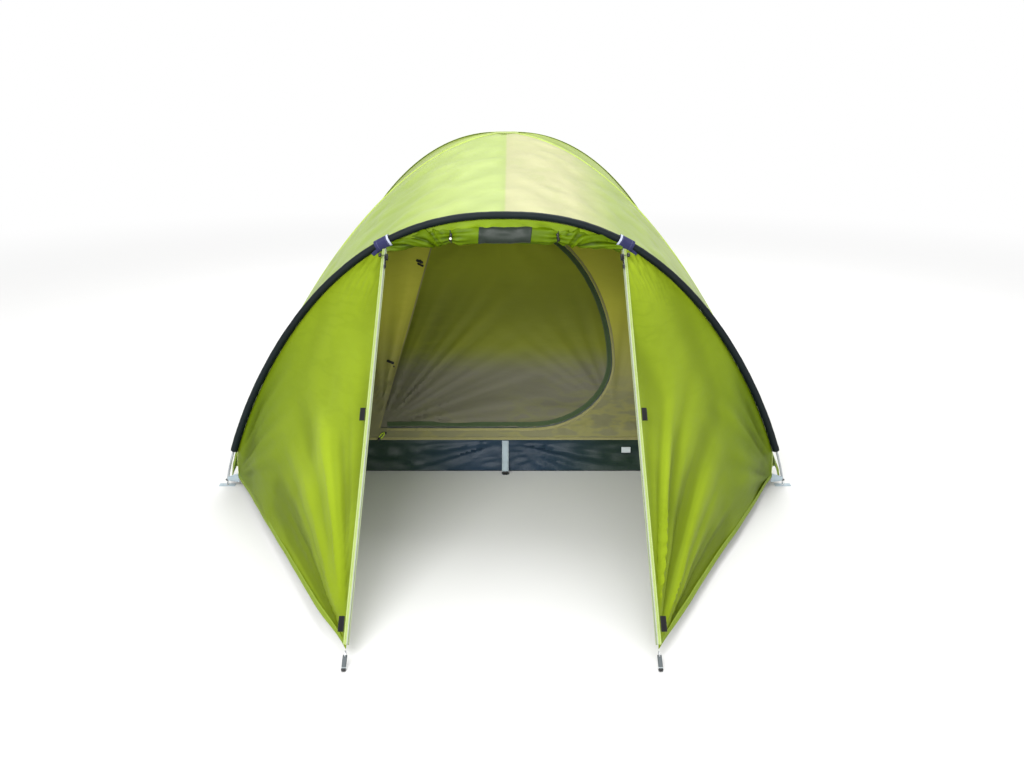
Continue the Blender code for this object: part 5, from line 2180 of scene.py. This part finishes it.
@dataclass
class TubFloor:
    """The waterproof tub floor, its rim tape, blank label and the strap in front.

    Attributes:
        lines: The tent's lines.
        spread: How far the floor stands out past the rim.
        corner: The radius of its upright corners.
    """

    lines: TentLines
    spread: float = 0.022
    corner: float = 0.05

    def build(self) -> None:
        """Builds the tub, its rim, its label and the centre strap."""
        self.tub()
        self.rim()
        self.label()
        self.strap()

    def _half_sizes(self) -> tuple[float, float]:
        """Half the tub's width and length at the rim."""
        low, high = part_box("groundsheet_tub")
        return (high.x - low.x) / 2 - self.spread, (high.y - low.y) / 2 - self.spread

    def _perimeter(self, grow: float) -> list[Vector]:
        """The tub's outline at the ground, its corners rounded."""
        half_x, half_y = (half + grow for half in self._half_sizes())
        points = []
        corners = ((1, -1, -math.pi / 2), (1, 1, 0.0), (-1, 1, math.pi / 2), (-1, -1, math.pi))
        arcs = []
        for side, end, start in corners:
            across, along = side * (half_x - self.corner), end * (half_y - self.corner)
            centre = Vector((across, self.lines.dome_y + along, 0))
            turns = spaced(start, start + math.pi / 2, 9)
            arcs.append([centre + Vector((math.cos(a), math.sin(a), 0)) * self.corner for a in turns])
        for arc, following in zip(arcs, arcs[1:] + arcs[:1]):
            points += arc
            points += [arc[-1].lerp(following[0], t) for t in spaced(0.0, 1.0, 90)[1:-1]]
        return points

    def tub(self) -> None:
        """The floor and its leaning sides, creased where the strap pulls."""
        low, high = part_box("groundsheet_tub")
        heights = [0.0, 0.0, 0.004, 0.012, *spaced(0.022, high.z - 0.001, 16)]
        base, rim = self._perimeter(self.spread - 0.0012), self._perimeter(-0.001)
        count = len(base)
        pull = Vector((0, low.y + self.spread, high.z - 0.01))
        bm = bmesh.new()
        layer = bm.loops.layers.uv.new("cloth")
        rows = []
        middle = Vector((0, self.lines.dome_y, 0))
        for level, height in enumerate(heights):
            share = height / high.z
            row = []
            for index in range(count):
                point = base[index].lerp(rim[index], share)
                if level < 2:
                    point = middle.lerp(base[index], 0.9 + 0.095 * level)
                point.z = height + 0.0012
                if level >= 2:
                    out = Vector((point.x, point.y - self.lines.dome_y, 0)).normalized()
                    soft = pinned(share, margin=0.2) if share < 1 else 0.0
                    crease = fan(point, pull, 15.0, 0.1, 0.75, 1.2) * 0.012
                    level_way = Vector((out.y, -out.x, 0.25)).normalized()
                    slump = ripple(point, level_way, 0.03, 3.0, 9.0) * 0.007 + noise.noise(point * 4) * 0.006
                    point += out * ((crease + slump) * soft)
                row.append(bm.verts.new(point))
            rows.append(row)
        around = distances([*base, base[0]])
        for level in range(len(rows) - 1):
            for index in range(count):
                following = (index + 1) % count
                lower, upper = rows[level], rows[level + 1]
                face = bm.faces.new((lower[index], lower[following], upper[following], upper[index]))
                spots = ((index, level), (index + 1, level), (index + 1, level + 1), (index, level + 1))
                for loop, (a, b) in zip(face.loops, spots):
                    loop[layer].uv = (around[a], heights[b])
        hole = [edge for edge in bm.edges if edge.is_boundary and edge.verts[0].co.z < 0.01]
        bmesh.ops.contextual_create(bm, geom=hole)
        bmesh.ops.recalc_face_normals(bm, faces=bm.faces)
        obj = thickened(object_of("tub_floor", bm, TUB_CLOTH), 0.0012)
        half_x, half_y = (half + self.spread for half in self._half_sizes())
        width, length = 2 * (half_x + high.z), 2 * (half_y + high.z)
        Fitting(Body.TENT, Slot.FLOOR, ("groundsheet_tub",)).fit(obj)

    def rim(self) -> None:
        """The stitched tape where the tub meets the walls."""
        _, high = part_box("groundsheet_tub")
        path = self._perimeter(0.0006)
        outward = [Vector((p.x, p.y - self.lines.dome_y, 0)).normalized() for p in path]
        for point in path:
            point.z = high.z + 0.0005
        tape = strap("tub_rim", path, outward, 0.010, 0.0016, INNER_TAPE, closed=True)
        Fitting(Body.TENT, Slot.INNER).fit(tape)

    def _front_wall(self, x: float, height: float, proud: float) -> Vector:
        """A point in front of the tub's front side."""
        low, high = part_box("groundsheet_tub")
        return Vector((x, low.y + self.spread * height / high.z - proud, height))

    def label(self) -> None:
        """A small pale label with nothing on it, sewn to the front of the tub."""
        path = [self._front_wall(x, 0.086, 0.0045) for x in spaced(0.452, 0.487, 8)]
        face = Vector((0, -1, 0.17)).normalized()
        Fitting(Body.TENT, Slot.WEBBING).fit(strap("blank_label", path, face, 0.022, 0.0008, LABEL_CLOTH))

    def strap(self) -> None:
        """The peg-out strap in front of the tub, with its moulded end."""
        low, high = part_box("centre_strap")
        top = Vector(((low.x + high.x) / 2, high.y - 0.002, high.z - 0.001))
        knee = Vector((top.x, low.y + 0.0355, 0.012))
        tip = Vector((top.x, low.y + 0.006, 0.003))
        path = []
        for t in spaced(0.0, 1.0, 26):
            bow = Vector((0, -0.004 * math.sin(math.pi * t), 0))
            path.append((1 - t) ** 2 * top + 2 * t * (1 - t) * knee + t * t * tip + bow)
        ways = headings(path)
        faces = [way.cross(RIGHT) for way in ways]
        faces = [face if face.y < 0 or face.z > 0 else -face for face in faces]
        web = strap("web", path, faces, high.x - low.x, 0.0018, GREY_WEB)
        cap = strap("cap", path[-6:], faces[-6:], (0.022, 0.027, 0.028, 0.027, 0.024, 0.016), 0.0085, BLACK)
        Fitting(Body.TENT, Slot.WEBBING, ("centre_strap",)).fit(joined("centre_peg_strap", [web, cap]))


# --- poles and ground tabs ---------------------------------------------------------------------------------


@dataclass
class Poles:
    """The three sectioned poles with their steel ferrules and tips.

    Attributes:
        lines: The tent's lines.
        dome_sections: Sections in a dome pole.
        hoop_sections: Sections in the hoop.
        ferrule_length: How much of a ferrule shows.
        ferrule_radius: Its radius.
        tip_length: How much of a tip shows.
        tip_radius: Its radius.
        gap: The clearance between parts that touch.
        foot_clearance: The height of a pole's end above the ground.
        sides: Faces round a pole.
    """

    lines: TentLines
    dome_sections: int = 7
    hoop_sections: int = 5
    ferrule_length: float = 0.05
    ferrule_radius: float = 0.006
    tip_length: float = 0.022
    tip_radius: float = 0.0025
    gap: float = 0.0002
    foot_clearance: float = 0.0012
    sides: int = 16

    def build(self) -> None:
        """Builds every section of every pole."""
        lines = self.lines
        upper = lines.dome_height + 2 * lines.pole_radius + 2 * self.gap
        self._pole("dome_pole_a", self._dome_line(-1, lines.dome_height), self.dome_sections)
        self._pole("dome_pole_b", self._dome_line(1, upper), self.dome_sections)
        foot = lines.hoop_angle_at(None, self.foot_clearance)
        self._pole("hoop_pole", [lines.hoop(a) for a in spaced(-foot, foot, 801)], self.hoop_sections)

    def _dome_line(self, side: int, height: float) -> list[Vector]:
        """A dome pole's centre line, from a front foot to the opposite rear one."""
        lift = height / self.lines.dome_height
        foot = bisect(lambda a: self.lines.ridge(1, 1, a).z * lift > self.foot_clearance, 0.0, math.pi / 2)
        line = []
        for a in spaced(foot, -foot, 801):
            end = -1 if a > 0 else 1
            point = self.lines.ridge(-side * end, end, abs(a))
            point.z *= lift
            line.append(point)
        return line

    def _pole(self, name: str, line: Sequence[Vector], sections: int) -> None:
        """Splits a centre line into sections of equal length and builds each."""
        steps = distances(line)
        share = steps[-1] / sections
        for number in range(sections):
            points, radii = [], []
            for distance in self._stations(number * share + self.gap, (number + 1) * share - self.gap):
                points.append(self._at(line, steps, distance))
                from_start, to_end = distance - number * share, (number + 1) * share - distance
                radii.append(self._radius(from_start, to_end, number == 0, number == sections - 1))
            section = bar(f"{name}_part_{number + 1}", points, radii, RESIN, sides=self.sides)
            self._dress_ends(section, radii)
            Fitting(Body.TENT, Slot.FIBREGLASS, (f"{name}_section_{number + 1}",)).fit(section)

    def _stations(self, start: float, end: float) -> list[float]:
        """Where a section's rings go, close together where its radius steps."""
        step = 0.0004
        marks = {start, end}
        for length in (self.tip_length, self.ferrule_length):
            marks |= {start + length, start + length + step, end - length, end - length - step}
        marks |= set(spaced(start, end, 30))
        return sorted(marks)

    def _radius(self, from_start: float, to_end: float, first: bool, last: bool) -> float:
        """A section's radius: thin at a pole's tips, thick at a ferrule."""
        tip = self.tip_length + self.gap
        if (first and from_start <= tip) or (last and to_end <= tip):
            return self.tip_radius
        if not last and to_end <= self.ferrule_length + self.gap:
            return self.ferrule_radius
        return self.lines.pole_radius

    def _dress_ends(self, section: bpy.types.Object, radii: Sequence[float]) -> None:
        """Gives the ferrule and the tips their steel."""
        section.data.materials.append(made(STEEL))
        for polygon in section.data.polygons:
            rings = {index // self.sides for index in polygon.vertices}
            if all(abs(radii[ring] - self.lines.pole_radius) > 1e-5 for ring in rings):
                polygon.material_index = 1

    @staticmethod
    def _at(line: Sequence[Vector], steps: Sequence[float], distance: float) -> Vector:
        """The point at a distance along a line."""
        low, high = 0, len(steps) - 1
        while high - low > 1:
            middle = (low + high) // 2
            if steps[middle] <= distance:
                low = middle
            else:
                high = middle
        return line[low].lerp(line[high], (distance - steps[low]) / (steps[high] - steps[low]))


@dataclass
class GroundTabs:
    """The webbing tabs on the ground, whose eyelets take the pole tips.

    Attributes:
        lines: The tent's lines.
        width: A tab's width.
        thickness: Its thickness.
        eyelet: The eyelet's inner radius.
        corner_length: The length of a tab at the dome's corners.
        hoop_length: The length of a tab at the hoop's feet.
    """

    lines: TentLines
    width: float = 0.025
    thickness: float = 0.0016
    eyelet: float = 0.0032
    corner_length: float = 0.075
    hoop_length: float = 0.06

    def build(self) -> None:
        """Builds the four corner tabs and the two at the hoop's feet."""
        for side_name, side in SIDES.items():
            for end_name, end in ENDS.items():
                heading = Vector((side, end, 0)).normalized()
                self._tab(f"corner_tab_{end_name}_{side_name}", heading, self.corner_length, True)
            self._tab(f"hoop_tab_{side_name}", Vector((side, 0, 0)), self.hoop_length, False)
            self._hoop_link(side_name, side)

    def _tab(self, node: str, heading: Vector, length: float, tongued: bool) -> None:
        """One tab with its stitched webbing, folded outer end and steel eyelet.

        Args:
            node: The tab's CAD node.
            heading: The way it points, outwards along the ground.
            length: Its length.
            tongued: Whether a tongue of webbing rises from it to the tub.
        """
        place = middle_of(node)
        place.z = 0.0
        inner, outer = place - heading * (length / 2), place + heading * (length / 2)
        lift = UP * (self.thickness * 0.55)
        web = self._holed(node, place, heading, length)
        fold_path = [outer.lerp(place, t) + lift * 2.4 for t in spaced(0.02, 0.42, 8)]
        fold = strap("fold", fold_path, UP, self.width * 0.96, self.thickness * 0.8, GREY_WEB)
        side = heading.cross(UP)
        ring = [
            place + lift * 2 + (heading * math.cos(a) + side * math.sin(a)) * 0.0048 for a in full_turn(28)
        ]
        parts = [web, fold, bar("grommet", ring, 0.0014, STEEL, closed=True, sides=10)]
        if tongued:
            steps = spaced(0.0, 1.0, 6)
            path = [inner.lerp(inner - heading * 0.05, t) + lift + UP * (0.012 * t * t) for t in steps]
            parts.append(strap("tongue", path, UP, self.width * 0.9, self.thickness * 0.8, GREY_WEB))
        Fitting(Body.TENT, Slot.WEBBING, (node,)).fit(joined(f"{node}_webbing", parts))

    def _holed(self, node: str, place: Vector, heading: Vector, length: float) -> bpy.types.Object:
        """A flat webbing strip with a round hole through it."""
        side = heading.cross(UP)
        turns = full_turn(32)
        bm = bmesh.new()
        layer = bm.loops.layers.uv.new("cloth")
        loops = []
        for z in (0.0, self.thickness):
            inner, outer = [], []
            for a in turns:
                way = Vector((math.cos(a), math.sin(a)))
                reach = min(length / 2 / max(abs(way.x), 1e-6), self.width / 2 / max(abs(way.y), 1e-6))
                for row, size in ((inner, self.eyelet + 0.0004), (outer, reach)):
                    spot = place + heading * (way.x * size) + side * (way.y * size)
                    row.append(bm.verts.new(spot + UP * z))
            loops.append((inner, outer))
        (low_in, low_out), (high_in, high_out) = loops
        bands = ((low_in, low_out), (high_out, high_in), (low_out, high_out), (high_in, low_in))
        for index in range(len(turns)):
            following = (index + 1) % len(turns)
            for first, second in bands:
                bm.faces.new((first[index], first[following], second[following], second[index]))
        bmesh.ops.recalc_face_normals(bm, faces=bm.faces)
        for face in bm.faces:
            for loop in face.loops:
                arm = loop.vert.co - place
                loop[layer].uv = (arm.dot(heading), arm.dot(side))
        return object_of(f"{node}_web", bm, GREY_WEB)

    def _hoop_link(self, name: str, side: int) -> None:
        """The grey webbing from the hoop's foot to the wing's rear corner, and the black ring on the foot."""
        lines = self.lines
        angle = lines.hoop_angle_at(None, 0.03)
        foot = lines.hoop(side * angle)
        corner = lines.hoop(side * lines.hoop_angle_at(None, lines.hem), 0.04, 0.002)
        path = [foot.lerp(corner, t) + Vector((0, -0.006, 0)) for t in spaced(0.02, 1.0, 8)]
        widths = (0.016, 0.018, 0.021, 0.024, 0.027, 0.03, 0.032, 0.034)
        link = strap("link", path, Vector((0, -1, 0)), widths, 0.0014, GREY_WEB)
        centre = lines.hoop(side * lines.hoop_angle_at(None, 0.024))
        ring_path = [centre + Vector((math.cos(a), math.sin(a), 0)) * 0.0068 for a in full_turn(24)]
        ring = bar("ring", ring_path, 0.0019, BLACK, closed=True, sides=10)
        Fitting(Body.TENT, Slot.WEBBING).fit(joined(f"hoop_foot_link_{name}", [link, ring]))


class CadFittings:
    """The moulded and steel fittings whose CAD shapes stay, dressed in their finishes."""

    def build(self) -> None:
        """Dresses the clips, the crown hook and the peg rings."""
        for name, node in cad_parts.items():
            if node.hide_render:
                continue
            steel = name.startswith("peg_ring")
            node.data.materials.clear()
            node.data.materials.append(made(STEEL if steel else BLACK))
            node.data.shade_smooth()
            LOG.info("%s keeps its CAD shape", name)


# --- studio ------------------------------------------------------------------------------------------------


@dataclass
class Studio:
    """The camera, the pale floor and the soft lights.

    Attributes:
        lines: The tent's lines.
        eye_height: The camera's height.
        eye_distance: How far in front of the hoop's feet it stands.
        eye_shift: How far it stands to the right of the tent's middle.
        tilt: How far it looks down, in degrees.
        lens: Its focal length in millimetres.
        backdrop: The floor's and the background's colour.
    """

    lines: TentLines
    eye_height: float = 1.576
    eye_distance: float = 3.904
    eye_shift: float = 0.026
    tilt: float = 16.775
    lens: float = 38.95
    backdrop: Colour = (1.0, 1.0, 1.0)

    def camera(self) -> None:
        """Places the camera and makes it the scene's."""
        data = bpy.data.cameras.new("camera")
        data.lens = self.lens
        data.sensor_width = 36.0
        data.clip_end = 200.0
        obj = in_scene("camera", data)
        obj.location = (self.eye_shift, self.lines.hoop_y - self.eye_distance, self.eye_height)
        obj.rotation_euler = (math.radians(90 - self.tilt), 0.0, 0.0)
        bpy.context.scene.camera = obj

    def floor(self) -> None:
        """A wide pale floor that fades into the background far from the tent."""
        bm = bmesh.new()
        bmesh.ops.create_circle(bm, cap_ends=True, segments=96, radius=90.0)
        mesh = mesh_from("studio_floor", bm)
        kit = ShaderKit("studio_floor")
        x, y = kit.axis(kit.place, "X"), kit.axis(kit.place, "Y")
        reach = (x * x + y * y) ** 0.5
        grain = kit.noise(kit.place, 5.0, 3.0)
        kit.paint(Base_Color=kit.mix(grain * 0.3, (0.62, 0.62, 0.615), (0.57, 0.57, 0.565)), Roughness=0.8)
        far = kit.add("ShaderNodeEmission", None, {"Color": self.backdrop, "Strength": 1.0})
        kit.cover(reach.rise(3.0, 7.5), far)
        mesh.materials.append(kit.material)
        in_scene("studio_floor", mesh)

    def lights(self) -> None:
        """A bright sky, a broad top light behind the tent and a soft front light."""
        world = bpy.data.worlds.new("studio_sky")
        world.use_nodes = True
        sky = world.node_tree.nodes["Background"]
        sky.inputs["Color"].default_value = (*self.backdrop, 1.0)
        sky.inputs["Strength"].default_value = 1.0
        bpy.context.scene.world = world
        self._area("top_light", Vector((0.6, 2.2, 5.2)), 4.0, 280.0)
        self._area("front_light", Vector((-1.9, -5.2, 4.2)), 3.0, 260.0)
        self._area("porch_light", Vector((0.2, -4.6, 1.5)), 1.6, 55.0)
        view = bpy.context.scene.view_settings
        view.view_transform = "Standard"
        view.look = "None"

    def _area(self, name: str, place: Vector, size: float, power: float) -> None:
        """A square soft light that looks at the tent."""
        data = bpy.data.lights.new(name, "AREA")
        data.size = size
        data.energy = power
        obj = in_scene(name, data)
        obj.location = place
        target = Vector((0, 0, 0.5))
        obj.rotation_euler = (target - place).to_track_quat("-Z", "Y").to_euler()


def main() -> None:
    """Builds the studio and then the tent, sub-assembly by sub-assembly."""
    logging.basicConfig(level=logging.INFO, format="%(name)s: %(message)s")
    lines = TentLines.from_frame()
    studio = Studio(lines)
    studio.camera()
    studio.floor()
    studio.lights()
    Poles(lines).build()
    HoopSleeve(lines).build()
    Flysheet(lines).build()
    RolledDoor(lines).build()
    for name, side in SIDES.items():
        PorchZip(lines, name, side).build()
    InnerTent(lines, DoorShape()).build()
    TubFloor(lines).build()
    GroundTabs(lines).build()
    CadFittings().build()


if __name__ == "__main__":
    main()
